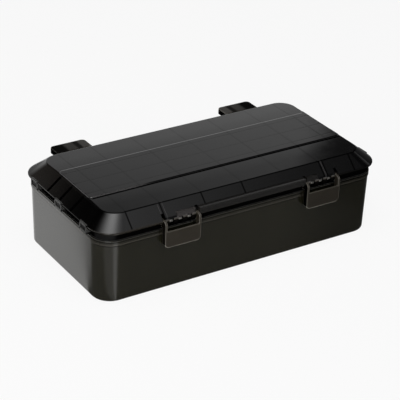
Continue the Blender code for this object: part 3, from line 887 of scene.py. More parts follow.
        # End chamfers: painted shade at the front, a painted lighter brown towards the rear.
        end = recipe.blend(y.ramp(*self.end_run) * (0.6 + cloud * 0.5), self.end_front_shade, self.end)
        base = recipe.blend(x.size().ramp(*self.top_ends), self.body, end)
        layers = (
            (zones.rib, self.rib),
            (edge * x.ramp(*self.edge_run) * (0.7 + cloud * 0.4), self.edge),
            # Painted highlight on the flange's top edge at the ends.
            (zones.tip, self.tip),
            # Painted reflection on the ledge's face.
            (zones.ledge * (0.8 + cloud * 0.3), self.ledge),
            (zones.ledge * lit, self.ledge_highlight),
            (zones.brim, self.brim),
            # Painted highlight along the band's front edge.
            (band_highlight, self.band_highlight),
            # Painted highlight lines.
            (self.lines(at), self.glint),
            # Knuckles: paler thin plastic, with a painted highlight on their fronts.
            (zones.lug * (0.6 + cloud * 0.6), self.lug),
        )
        return recipe.paint(base, layers)

    def dull(self, at: Place, zones: LidZones) -> Term:
        """Return how much of the lid is matt black: its ribs, and painted shade in its recesses, on the
        flange at its ends, in dark lines along the band's front and the ridge, on its shaded ends and far
        corner, and on the flange's front edge to the right.

        Args:
            at: the point's place.
            zones: the masks of the lid's regions.

        Returns:
            The share.
        """
        x, y, z = at.x, at.y, at.z
        top, edge_top = self.levels.top, self.levels.edge_top
        high = z.ramp(top - 1.6 * MM, top - 1.0 * MM)
        # Near the front left corner the recess's painted shade is held back.
        corner = x.ramp(*self.corner_x) * y.ramp(*self.corner_y)
        # Painted shadow line along the band's front edge.
        shadow_line = y.near(-self.band_front, 1.3 * MM, 0.8 * MM) * z.ramp(top - 1.0 * MM, top - 0.5 * MM)
        # Painted dark line along the ridge.
        ridge = self.reach(at, self.ridge_core).near(self.ridge_reach, 0.8 * MM, 0.3 * MM)
        ridge = ridge * y.ramp(*self.ridge_fade) * z.ramp(top - 3.0 * MM, top - 2.0 * MM)
        # Painted shade at the far left corner.
        far = x.ramp(*self.corner_x) * y.ramp(*self.far_corner_y) * (1.0 - high)
        shaded = x.ramp(*self.left_end) * (1.0 - y.ramp(*self.end_run)) * (1.0 - high)
        # Painted shade on the flange's front edge towards the right.
        front_edge_shade = x.ramp(*self.edge_dark_run) * z.ramp(edge_top + 0.9 * MM, edge_top + 0.2 * MM)
        # The recess under the flange is painted matt black as shade.
        share = zones.rib * (0.85 - high * 0.70) + zones.recess * (0.95 - corner * 0.55)
        # The flange's face at the ends, below its highlight, is painted matt black as shade.
        share = share + (zones.flange - zones.tip).most(0.0) * 0.9
        share = share + shadow_line * x.size().ramp(*self.shadow_line_ends) + ridge * 0.75
        share = share + far * 0.70 + shaded * y.ramp(*self.left_end_front) * 0.7
        return (share + zones.outer * front_edge_shade * 0.8).least(1.0)

    def make(self) -> bpy.types.Material:
        """Build the finish from its nodes.

        Returns:
            The material.
        """
        recipe = Recipe(self.name)
        at = recipe.place()
        zones = self.zones(recipe, at)
        haze = recipe.noise(at.whole, self.haze, 4.0, 0.6)
        roughness = 0.08 + haze.ramp(0.35, 0.8) * 0.05 + zones.recess * 0.3 + zones.lug * 0.2
        normal = recipe.bump(recipe.noise(at.whole, self.ripple, 1.0), self.ripple_depth, 0.6)
        normal = recipe.bump(1.0 - zones.rib, self.rib_depth, 1.0, normal)
        colour, dull = self.colour(recipe, at, zones), self.dull(at, zones)
        return recipe.surface(Base_Color=colour, Roughness=roughness, Normal=normal, black=dull)


@dataclass(frozen=True)
class MouldedPlastic:
    """Opaque moulded plastic with a fine satin grain and, where it has a rim, a painted highlight on the bead
    and painted shade.
    """

    name: str
    body: Colour
    worn: Colour
    roughness: float
    shine: float = 0.5
    grain: float = 2600.0
    grain_depth: float = 0.000012
    speck: float = 420.0
    flow: Triple = (36.0, 36.0, 5.0)
    drawn: Triple = (330.0, 330.0, 10.0)
    # Paler colour of the bead's painted highlight.
    rim: Colour | None = None
    rim_foot: float = 0.0651
    # Height of a painted dark line along the bead.
    dark_line_rise: float = 0.0043
    latch_reach: Span = (0.0180, 0.0190)
    # Where the front's right end is darkened as painted shade.
    right_end: Span = (0.0300, 0.1500)
    front: Span = (-0.0740, -0.0820)

    def bead(self, at: Place, share: Term) -> tuple[Term, Term]:
        """Return the masks of the bead's painted highlight and of painted shade: dark lines at the bead, its
        upper part and the front's right end.

        Args:
            at: the point's place.
            share: the plastic's own variation.

        Returns:
            The mask of the colour, and the share that is matt black.
        """
        x, y, z, foot = at.x, at.y, at.z, self.rim_foot
        # Painted shadow line under the bead's step.
        shadow_line = z.ramp(foot - 1.1 * MM, foot - 0.6 * MM) * z.ramp(foot + 0.3 * MM, foot + 0.1 * MM)
        # A painted dark line along the bead, with no groove modelled under it.
        groove = z.near(foot + self.dark_line_rise, 0.9 * MM, 0.3 * MM)
        low = z.ramp(foot + 2.4 * MM, foot + 1.6 * MM)
        # Painted highlight, brightest low on the bead.
        light = z.ramp(foot - 0.1 * MM, foot + 0.2 * MM) * (0.8 + share * 0.3) * (0.35 + low * 1.05)
        for site in SITES[:2]:
            light = light * (x - site.x).size().ramp(*self.latch_reach)
        # Painted shade on the upper part of the bead and above.
        upper = z.ramp(foot + 2.0 * MM, foot + 2.6 * MM)
        shade = x.ramp(*self.right_end) * y.ramp(*self.front)
        return light, (shadow_line * 0.7 + groove * 0.55 + upper * 0.15 + shade * 0.35).least(1.0)

    def make(self) -> bpy.types.Material:
        """Build the finish from its nodes.

        Returns:
            The material.
        """
        recipe = Recipe(self.name)
        at = recipe.place()
        flow = recipe.noise(recipe.stretched(at.whole, self.flow), 1.0, 3.0)
        speck = recipe.noise(at.whole, self.speck, 2.0)
        drawn = recipe.noise(recipe.stretched(at.whole, self.drawn), 1.0, 2.0)
        share = flow.ramp(0.35, 0.75) * 0.4 + speck.ramp(0.55, 0.8) * 0.2 + drawn.ramp(0.35, 0.7) * 0.4
        colour = recipe.blend(share, self.body, self.worn)
        dull = 0.0
        if self.rim is not None:
            light, dull = self.bead(at, share)
            colour = recipe.blend(light, colour, self.rim)
        fine = recipe.noise(at.whole, self.grain, 2.0, 0.6)
        roughness = self.roughness + (flow - 0.5) * 0.05 + (fine - 0.5) * 0.06
        normal = recipe.bump(fine, self.grain_depth, 0.5)
        return recipe.satin(colour, roughness, self.shine, normal, dull)


@dataclass(frozen=True)
class ClearEdgedPlastic:
    """Thin smoked plastic with a painted highlight on its marked edges, and painted shade on the latches'
    sides and in blocks on the raised rear latches.
    """

    name: str
    body: Colour
    # Pale colour of the painted highlight on marked edges.
    edge: Colour
    roughness: float
    shine: float
    hush: float = 0.0
    lighten: float = 1.5
    cloud: float = 90.0
    haze: float = 240.0
    grain: float = 1500.0
    grain_depth: float = 0.00001
    # Where the raised rear latches carry painted shade in blocks.
    outer_block: Span = (0.0035, 0.0085)
    inner_block: Span = (-0.0095, -0.0125)
    strip: Span = (-0.0035, -0.0065)
    rear: Span = (0.0800, 0.0840)
    # Where the front latches' right side is painted in shade.
    right_end: Span = (0.0300, 0.0900)
    front: Span = (-0.0700, -0.0800)

    def blocks(self, at: Place) -> Term:
        """Return the painted shade in blocks that the raised rear latches show.

        Args:
            at: the point's place.

        Returns:
            How much of the surface is matt black.
        """
        off = at.x.size() - SITES[-1].x
        outer, inner = off.ramp(*self.outer_block), off.ramp(*self.inner_block)
        strip = off.ramp(*self.strip) * (1.0 - inner)
        return (0.50 + outer * 0.45 + strip * 0.35 - inner * 0.25) * at.y.ramp(*self.rear)

    def make(self) -> bpy.types.Material:
        """Build the finish from its nodes.

        Returns:
            The material.
        """
        recipe = Recipe(self.name)
        at, rim = recipe.place(), recipe.mark()
        lit = rim.most(0.0)
        cloud = recipe.noise(at.whole, self.cloud, 3.0)
        pale = tuple(value * self.lighten for value in self.body)
        colour = recipe.blend(cloud.ramp(0.3, 0.8) * 0.35, self.body, pale)
        # Painted highlight on the marked edges.
        colour = recipe.blend(lit, colour, self.edge)
        # Painted shade: the rear latches' blocks and the latches' outer sides.
        shade = self.blocks(at) + (rim * -1.0).most(0.0) * 0.8
        # Painted shade on the front latches' right side.
        shade = shade + at.x.ramp(*self.right_end) * at.y.ramp(*self.front) * 0.25
        shade = (shade * (1.0 - lit) + (1.0 - rim).least(1.0) * self.hush).least(1.0)
        roughness = self.roughness + (recipe.noise(at.whole, self.haze, 3.0) - 0.5) * 0.12
        normal = recipe.bump(recipe.noise(at.whole, self.grain, 2.0), self.grain_depth, 0.5)
        return recipe.satin(colour, roughness, self.shine, normal, shade)


@dataclass(frozen=True)
class DrawnWire:
    """Steel wire with fine marks along it."""

    name: str = "drawn_wire"
    dark: Colour = (0.52, 0.50, 0.47)
    pale: Colour = (0.66, 0.64, 0.60)
    stretch: Triple = (60.0, 4200.0, 4200.0)
    mark_depth: float = 0.00001

    def make(self) -> bpy.types.Material:
        """Build the finish from its nodes.

        Returns:
            The material.
        """
        recipe = Recipe(self.name)
        marks = recipe.noise(recipe.stretched(recipe.place().whole, self.stretch), 1.0, 3.0)
        colour = recipe.blend(marks.ramp(0.3, 0.8), self.dark, self.pale)
        normal = recipe.bump(marks, self.mark_depth, 0.5)
        return recipe.surface(Base_Color=colour, Metallic=1.0, Roughness=0.42 + marks * 0.14, Normal=normal)


# Pieces


@dataclass
class Tub:
    """The tub: drafted shell, rim bead, seal rebate, divider guides and keepers."""

    rim: Rim
    draft: float = 0.0014
    bead_step: float = 0.0007
    bead_low: float = 0.0651
    bead_round: float = 0.0006
    wall: float = 0.0024
    floor: float = 0.0025
    foot: float = 0.0030
    floor_round: float = 0.0018
    rebate_depth: float = 0.0020
    rebate_width: float = 0.0014
    rebate_round: float = 0.0003
    groove: Triple = (0.0120, 0.0160, 0.0008)
    divider_pitch: float = 0.0490
    guide_thickness: float = 0.0012
    guide_depth: float = 0.0016
    guide_top: float = 0.0620
    guide_round: float = 0.0006
    guide_offset: float = 0.0017
    wall_overlap: float = 0.0006
    floor_overlap: float = 0.0004
    keeper_width: float = 0.0320
    keeper_outline: tuple[Corner, ...] = corners(
        (-0.0056, -0.0113, 0.0004),
        (-0.0056, -0.0156, 0.0005),
        (-0.0038, -0.0161),
        (-0.0008, -0.0165),
        (-0.0008, -0.0113),
    )

    def wall_inset(self, height: float) -> float:
        """Return how far the outer wall lies inside the rim at a height."""
        return self.bead_step + self.draft * (1 - height / self.bead_low)

    def sections(self) -> list[Section]:
        """Return the shell's sections, from the underside up the outside and down the inside.

        Returns:
            The sections in order.
        """
        rim, top, bead, nick = self.rim, self.rim.tub_height, self.bead_low, 0.1 * MM
        outer, inner, depth = self.groove
        rows = [(inner, 0.0), (inner, depth), (outer, depth), (outer, 0.0)]
        rows += self.rounded(self.wall_inset(self.foot), 0.0, -self.foot, 5)[::-1]
        rows += [(self.bead_step, bead), (self.bead_step - nick, bead + nick)]
        rows += self.rounded(0.0, bead, -self.bead_round, 3)[::-1]
        rows += self.rounded(0.0, top, self.bead_round, 3)
        shelf_height = top - self.rebate_depth
        shelf = self.wall_inset(shelf_height) + self.wall
        lip = shelf - self.rebate_width
        rows += [(lip - self.rebate_round, top), (lip, top - self.rebate_round), (lip, shelf_height)]
        low = self.floor + self.floor_round
        inside = self.wall_inset(low) + self.wall
        rows += [(shelf, shelf_height), (inside, low)]
        for step in range(1, 5):
            angle = QUARTER * step / 4
            reach = self.floor_round * (1 - math.cos(angle))
            rows.append((inside + reach, low - self.floor_round * math.sin(angle)))
        return [rim.at(inset, height) for inset, height in rows]

    @staticmethod
    def rounded(inset: float, height: float, radius: float, steps: int) -> list[Span]:
        """Return the rows of a rounded outer edge, from the wall onto a level face.

        Args:
            inset: how far the wall lies inside the rim.
            height: the level face's height.
            radius: the rounding, negative where the face looks down.
            steps: rows round the edge, less one.

        Returns:
            Each row's inset and height.
        """
        rows = []
        for step in range(steps + 1):
            angle = QUARTER * step / steps
            out = abs(radius) * (1 - math.cos(angle))
            rows.append((inset + out, height - radius * (1 - math.sin(angle))))
        return rows

    def guides(self) -> bpy.types.Object:
        """Make the rib pairs that hold the dividers' ends.

        Returns:
            The ribs.
        """
        blank = Blank("tub_guides")
        side, end = self.guide(self.rim.half_y), self.guide(self.rim.half_x)
        for angle in (math.pi, 0.0):
            turn = Matrix.Rotation(angle, 4, "Z")
            for offset in (-self.guide_offset, self.guide_offset):
                blank.bar(end, self.guide_thickness, turn @ front_plane(offset), 1)
                for count in range(-2, 3):
                    place = turn @ side_plane(count * self.divider_pitch + offset)
                    blank.bar(side, self.guide_thickness, place, 1)
        return blank.finish()

    def guide(self, reach: float) -> tuple[Corner, ...]:
        """Return one guide's outline.

        Args:
            reach: how far out the rim lies over the guide's wall.

        Returns:
            Its corners, as distance out and height.
        """
        low = self.floor - self.floor_overlap
        foot = reach - self.wall_inset(low) - self.wall
        head = reach - self.wall_inset(self.guide_top) - self.wall
        tip = (head - self.guide_depth, self.guide_top, self.guide_round)
        embedded = (head + self.wall_overlap, self.guide_top)
        return corners((foot + self.wall_overlap, low), (foot - self.guide_depth, low), tip, embedded)

    def keeper(self, site: Site) -> bpy.types.Object:
        """Make the ledge that a latch's hook passes under."""
        blank = Blank("keeper").bar(self.keeper_outline, self.keeper_width, side_plane(), 2)
        return blank.move(site.hinge()).finish()

    def build(self, material: bpy.types.Material) -> bpy.types.Object:
        """Build and dress the tub.

        Args:
            material: its finish.

        Returns:
            The piece.
        """
        shell = Blank("tub_shell").stack(self.sections()).finish()
        join(shell, [self.guides(), *(self.keeper(site) for site in SITES)])
        show(smooth(shell), "tub", "tub", material)
        return shell


@dataclass
class Lid:
    """The lid: chamfered shell, raised band, finger ledge, end tabs, latch bays and knuckles."""

    rim: Rim
    levels: Levels = Levels()
    plug_inset: float = 0.0038
    plug_inner: float = 0.0058
    plug_round: float = 0.0005
    skirt_inset: float = 0.0021
    overhang: float = 0.0030
    edge_round: float = 0.0006
    side_run: float = 0.0159
    end_run: float = 0.0175
    ridge_radius: float = 0.0170
    ridge_round: float = 0.0008
    ridge_depth: float = 0.0020
    level_normal: float = 0.95
    strip_fall: float = 0.0007
    shell: float = 0.0022
    band_half: float = 0.0340
    band_rise: float = 0.0009
    band_sink: float = 0.0015
    band_gap: float = 0.0004
    band_corner: float = 0.0050
    band_rows: tuple[Span, ...] = (
        (0.0, 0.00075),
        (0.0002, 0.00045),
        (0.0006, 0.00026),
        (0.0012, 0.00011),
        (0.0020, 0.00003),
        (0.0028, 0.0),
    )
    rib_depth: float = 0.0020
    rib_thickness: float = 0.0011
    rib_offset: float = 0.0012
    rib_places: tuple[float, ...] = (0.0, 0.049, -0.049, 0.098, -0.098, 0.137, -0.137)
    long_places: tuple[float, ...] = (0.0, 0.0245, -0.0245)
    core_foot: float = 0.0030
    bay_half: float = 0.0215
    bay_floor: float = -0.0047
    bay_ceiling: float = 0.0050
    bay_back: float = 0.0055
    bay_wall: float = 0.0022
    bay_round: float = 0.0006
    bay_head: float = 0.0242
    bay_front: float = -0.0195
    block_front: float = -0.0100
    lip_inset: float = 0.0024
    slot_middle: float = 0.0198
    slot_width: float = 0.0034
    slot_rise: float = 0.0098
    lug_radius: float = 0.0040
    lug_width: float = 0.0050
    lug_spacing: float = 0.0106
    lug_margin: float = 0.0003
    hole_radius: float = 0.0018
    hole_length: float = 0.0522
    ledge_setback: float = 0.0088
    ledge_proud: float = 0.0003
    ledge_corner: float = 0.0020
    tab_width: float = 0.0150
    tab_spacing: float = 0.0530
    tab_height: float = 0.0094
    tab_margin: float = 0.0020
    tab_over: float = 0.0012
    tab_proud: float = 0.0005
    tab_recess: float = 0.0008
    tab_round: float = 0.0003
    overlap: float = 0.0006
    overrun: float = 0.0100

    @property
    def side_slope(self) -> float:
        """Return the slope of the long chamfers."""
        return self.levels.rise / self.side_run

    @property
    def end_slope(self) -> float:
        """Return the slope of the end chamfers."""
        return self.levels.rise / self.end_run

    def upright(self, slope: float) -> float:
        """Return the shell's thickness measured upright on a slope."""
        return math.hypot(1.0, slope) * self.shell

    def ridge(self) -> Section:
        """Return the outline where the chamfers end."""
        half_x, half_y = self.rim.half_x + self.overhang, self.rim.half_y + self.overhang
        return Section(half_x - self.end_run, half_y - self.side_run, self.ridge_radius, self.levels.top)

    def outside(self) -> bpy.types.Object:
        """Make the lid as a full solid with rounded flange and ridge.

        Returns:
            The solid.
        """
        foot, step = self.levels.foot, self.levels.step
        under, edge_top = self.levels.under, self.levels.edge_top
        over, small = self.overhang, self.edge_round
        rows = (
            (self.plug_inset + self.plug_round, foot),
            (self.plug_inset, foot + self.plug_round),
            (self.plug_inset, step),
            (self.skirt_inset, step),
            (self.skirt_inset, under),
            (small - over, under),
            (small * 0.3 - over, under + small * 0.3),
            (-over, under + small),
            (-over, edge_top - small * 0.8),
            (small * 0.2 - over, edge_top - small * 0.2),
        )
        sections = [self.rim.at(inset, height) for inset, height in rows]
        blank = Blank("lid_shell").stack([*sections, self.chamfer_section(small * 0.7), self.ridge()])
        self.tilt(blank)
        blank.round_edges(self.ridge_edges(blank), self.ridge_round, 3)
        return blank.finish()

    def chamfer_section(self, climb: float) -> Section:
        """Return the chamfer's outline a little above the flange.

        Args:
            climb: how far above it.

        Returns:
            The outline.
        """
        height = self.levels.edge_top + climb
        foot, ridge, share = self.rim.at(-self.overhang, height), self.ridge(), climb / self.levels.rise
        return Section(
            foot.half_x + (ridge.half_x - foot.half_x) * share,
            foot.half_y + (ridge.half_y - foot.half_y) * share,
            foot.radius + (ridge.radius - foot.radius) * share,
            height,
        )

    def tilt(self, blank: Blank) -> None:
        """Lower the top's two outer strips towards the ridges.

        Args:
            blank: the lid's full solid.
        """
        mesh = blank.mesh
        fall = math.atan2(self.strip_fall, self.ridge().half_y - self.band_half)
        for side in (-1, 1):
            bmesh.ops.bisect_plane(
                mesh,
                geom=mesh.verts[:] + mesh.edges[:] + mesh.faces[:],
                plane_co=(0.0, side * self.band_half, self.levels.top),
                plane_no=(0.0, side * math.sin(fall), math.cos(fall)),
                clear_outer=True,
            )
            bmesh.ops.edgeloop_fill(mesh, edges=[edge for edge in mesh.edges if edge.is_boundary])
        blank.outward()

    def ridge_edges(self, blank: Blank) -> list[bmesh.types.BMEdge]:
        """Return the edges between the chamfers and the top.

        Args:
            blank: the lid's full solid.

        Returns:
            The edges.
        """
        floor, chosen = self.levels.top - self.ridge_depth, []
        for edge in blank.mesh.edges:
            if len(edge.link_faces) != 2 or min(vert.co.z for vert in edge.verts) < floor:
                continue
            slopes = sorted(face.normal.z for face in edge.link_faces)
            if slopes[0] < self.level_normal < slopes[1]:
                chosen.append(edge)
        return chosen

    def band(self) -> bpy.types.Object:
        """Make the raised band along the middle of the top.

        Returns:
            The band.
        """
        top = self.levels.top
        half_x = self.ridge().half_x - self.band_gap
        foot = Section(half_x, self.band_half, self.band_corner, top - self.band_sink)
        rows = [foot]
        for inset, fall in self.band_rows:
            height, half_y = top + self.band_rise - fall, foot.half_y - inset * 0.7
            rows.append(Section(half_x - inset * 0.3, half_y, foot.radius - inset, height))
        return Blank("lid_band").stack(rows).finish()

    def dome(self, extra: float, height: float) -> Section:
        """Return the inner outline under the top.

        Args:
            extra: how far it is drawn in.
            height: its height.

        Returns:
            The outline.
        """
        depth = self.levels.top - height
        ridge = self.ridge()
        return Section(
            ridge.half_x + (depth - self.upright(self.end_slope)) / self.end_slope - extra,
            ridge.half_y + (depth - self.upright(self.side_slope)) / self.side_slope - extra,
            self.ridge_radius - self.shell - extra,
            height,
        )

    def hollow(self) -> bpy.types.Object:
        """Make the space inside, with the lattice ribs and bay blocks left out of it.

        Returns:
            The space.
        """
        levels, deep = self.levels, self.rib_depth
        climb = (self.overhang + self.plug_inner) * self.side_slope
        eave = levels.edge_top + climb - self.upright(self.side_slope)
        top = levels.top - self.shell - self.strip_fall
        foot = levels.foot - self.overrun
        rows = [self.rim.at(self.plug_inner, foot), self.rim.at(self.plug_inner, eave), self.dome(0.0, top)]
        space = Blank("lid_space").stack(rows).finish()
        carve(space, self.lattice(eave), Cut.TAKE)
        inset = self.plug_inner + deep
        rows = [self.rim.at(inset, height) for height in (eave - self.core_foot, eave - deep / 2)]
        carve(space, Blank("lid_core").stack([*rows, self.dome(deep, top - deep)]).finish(), Cut.ADD)
        width = self.bay_half + self.bay_wall
        low = (-width, self.block_front, self.bay_floor - self.rib_depth)
        high = (width, self.bay_back + self.bay_wall, levels.rise + self.overrun)
        for site in SITES:
            carve(space, Blank("bay_block").slab(low, high).move(site.hinge()).finish(), Cut.TAKE)
        return space

    def lattice(self, eave: float) -> bpy.types.Object:
        """Make the bars that leave the ribs standing under the top.

        Args:
            eave: the height at which the inner chamfer starts.

        Returns:
            The bars.
        """
        half, low, high = self.rib_thickness / 2, eave - self.rib_depth, self.levels.top + self.overrun
        long_reach, short_reach = self.rim.half_x * 2, self.rim.half_y * 2
        across, along = Blank("lattice"), Blank("long_lattice")
        for offset in (-self.rib_offset, self.rib_offset):
            for x in (place + offset for place in self.rib_places):
                across.slab((x - half, -short_reach, low), (x + half, short_reach, high))
            for y in (place + offset for place in self.long_places):
                along.slab((-long_reach, y - half, low), (long_reach, y + half, high))
        return carve(across.finish(), along.finish(), Cut.ADD)

    def bay(self) -> Blank:
        """Make the hollow in front of a latch's knuckles, under the chamfer's edge.

        Returns:
            The hollow, in a latch's own frame.
        """
        lip = self.lip_inset + PIN_REACH - self.rim.half_y - self.overhang
        climb = self.lip_inset * self.side_slope - self.upright(self.side_slope)
        lip_height = self.levels.edge_top + climb - PIN_HEIGHT
        fold = lip + (self.bay_ceiling - lip_height) / self.side_slope
        outline = corners(
            (self.bay_back, self.bay_floor, self.bay_round),
            (self.bay_back, self.bay_ceiling, self.bay_round),
            (fold, self.bay_ceiling),
            (lip, lip_height),
            (lip, self.bay_head),
            (self.bay_front, self.bay_head),
            (self.bay_front, self.bay_floor),
        )
        return Blank("bay").bar(outline, 2 * self.bay_half, side_plane(), 3)

    def slots(self) -> Blank:
        """Make the two slots through which a latch's ears swing.

        Returns:
            The slots, in a latch's own frame.
        """
        blank, half = Blank("slots"), self.slot_width / 2
        for middle in (-self.slot_middle, self.slot_middle):
            low = (middle - half, self.bay_front, self.bay_floor / 2)
            blank.slab(low, (middle + half, self.bay_back, self.slot_rise))
        return blank

    def knuckles(self) -> Blank:
        """Make the four knuckles that carry a pin.

        Returns:
            The knuckles, in a latch's own frame.
        """
        blank = Blank("knuckles")
        back, front, head = self.bay_back + self.overlap, -self.lug_radius, self.bay_ceiling + self.overlap
        low, high = (front, front, self.lug_radius * 0.98), (front, head, self.lug_radius * 0.7)
        outline = corners((back, front), low, high, (back, head))
        for index in range(4):
            blank.bar(outline, self.lug_width, side_plane((index - 1.5) * self.lug_spacing), 8)
        return blank

    def mark_knuckles(self, lid: bpy.types.Object) -> None:
        """Mark the knuckles' faces to be painted paler, as thin plastic that lets some light through, with a
        painted highlight on their fronts.

        Args:
            lid: the carved lid.
        """
        shape = bmesh.new()
        shape.from_mesh(lid.data)
        mark = shape.faces.layers.float.new(EDGE_MARK)
        size = self.lug_radius + self.lug_margin
        for site in SITES:
            inward = site.hinge().inverted()
            for face in shape.faces:
                middle = inward @ face.calc_center_median()
                if max(abs(middle.y), abs(middle.z)) < size and abs(middle.x) < self.bay_half:
                    away = inward.to_3x3() @ face.normal
                    # Front faces take the full painted highlight, the rest only a little of the paler tone.
                    face[mark] = 1.0 if away.y < -0.9 else 0.25
        shape.to_mesh(lid.data)
        shape.free()

    def ledge(self) -> bpy.types.Object:
        """Make the finger ledge between the front latches.

        Returns:
            The ledge.
        """
        left, right = self.levels.ledge_span
        front = -(self.rim.half_y + self.overhang + self.ledge_proud)
        back = front + self.ledge_setback
        corner = self.ledge_corner
        outline = corners((right, back), (left, back), (left, front, corner), (right, front, corner))
        middle = (self.levels.under + self.levels.ledge_top) / 2
        blank = Blank("ledge").bar(outline, self.levels.ledge_rise, Matrix.Translation((0.0, 0.0, middle)), 5)
        brim = []
        for edge in blank.mesh.edges:
            centre = (edge.verts[0].co + edge.verts[1].co) / 2
            if centre.z > self.levels.ledge_top - 0.1 * MM and centre.y < back - 1.0 * MM:
                brim.append(edge)
        blank.outward().round_edges(brim, self.edge_round, 3)
        return blank.finish()

    def tabs(self) -> bpy.types.Object:
        """Make the framed tabs under the flange at each end.

        Returns:
            The tabs.
        """
        frames, panels = Blank("lid_tabs"), Blank("tab_panels")
        inner = self.rim.half_x - self.skirt_inset - self.overlap
        face = self.rim.half_x + self.overhang + self.tab_proud
        top, brim = self.levels.edge_top + self.tab_over, self.levels.edge_top - self.tab_over
        foot, margin = top - self.tab_height, self.tab_margin
        for end in (-1, 1):
            near, far = sorted((end * inner, end * face))
            panel_near, panel_far = sorted((end * inner, end * (face - self.tab_recess)))
            for place in (-self.tab_spacing, 0.0, self.tab_spacing):
                left, right = place - self.tab_width / 2, place + self.tab_width / 2
                spans = (
                    (left, left + margin, foot, top),
                    (right - margin, right, foot, top),
                    (left, right, foot, foot + margin),
                    (left, right, brim, top),
                )
                for low_y, high_y, low_z, high_z in spans:
                    frames.slab((near, low_y, low_z), (far, high_y, high_z), self.tab_round)
                low = (panel_near, left + self.tab_proud, foot + self.tab_proud)
                panels.slab(low, (panel_far, right - self.tab_proud, top - self.tab_proud))
        mark = frames.mesh.faces.layers.float.new(EDGE_MARK)
        for frame_face in frames.mesh.faces:
            frame_face[mark] = 1.0
        return join(frames.finish(), [panels.finish()])

    def build(self, material: bpy.types.Material, tab_material: bpy.types.Material) -> bpy.types.Object:
        """Build and dress the lid.

        Args:
            material: the smoked finish.
            tab_material: the lighter finish of the end tabs.

        Returns:
            The lid's shell.
        """
        lid = self.outside()
        carve(lid, self.ledge(), Cut.ADD)
        carve(lid, self.hollow(), Cut.TAKE)
        for site in SITES:
            tools = (
                (self.bay(), Cut.TAKE),
                (self.knuckles(), Cut.ADD),
                (self.slots(), Cut.TAKE),
                (Blank("pin_hole").rod(self.hole_radius, self.hole_length), Cut.TAKE),
            )
            for tool, cut in tools:
                carve(lid, tool.move(site.hinge()).finish(), cut)
        self.mark_knuckles(lid)
        join(lid, [self.band()])
        show(smooth(lid), "lid", "lid", material)
        show(smooth(self.tabs()), "lid", "lid", tab_material)
        return lid


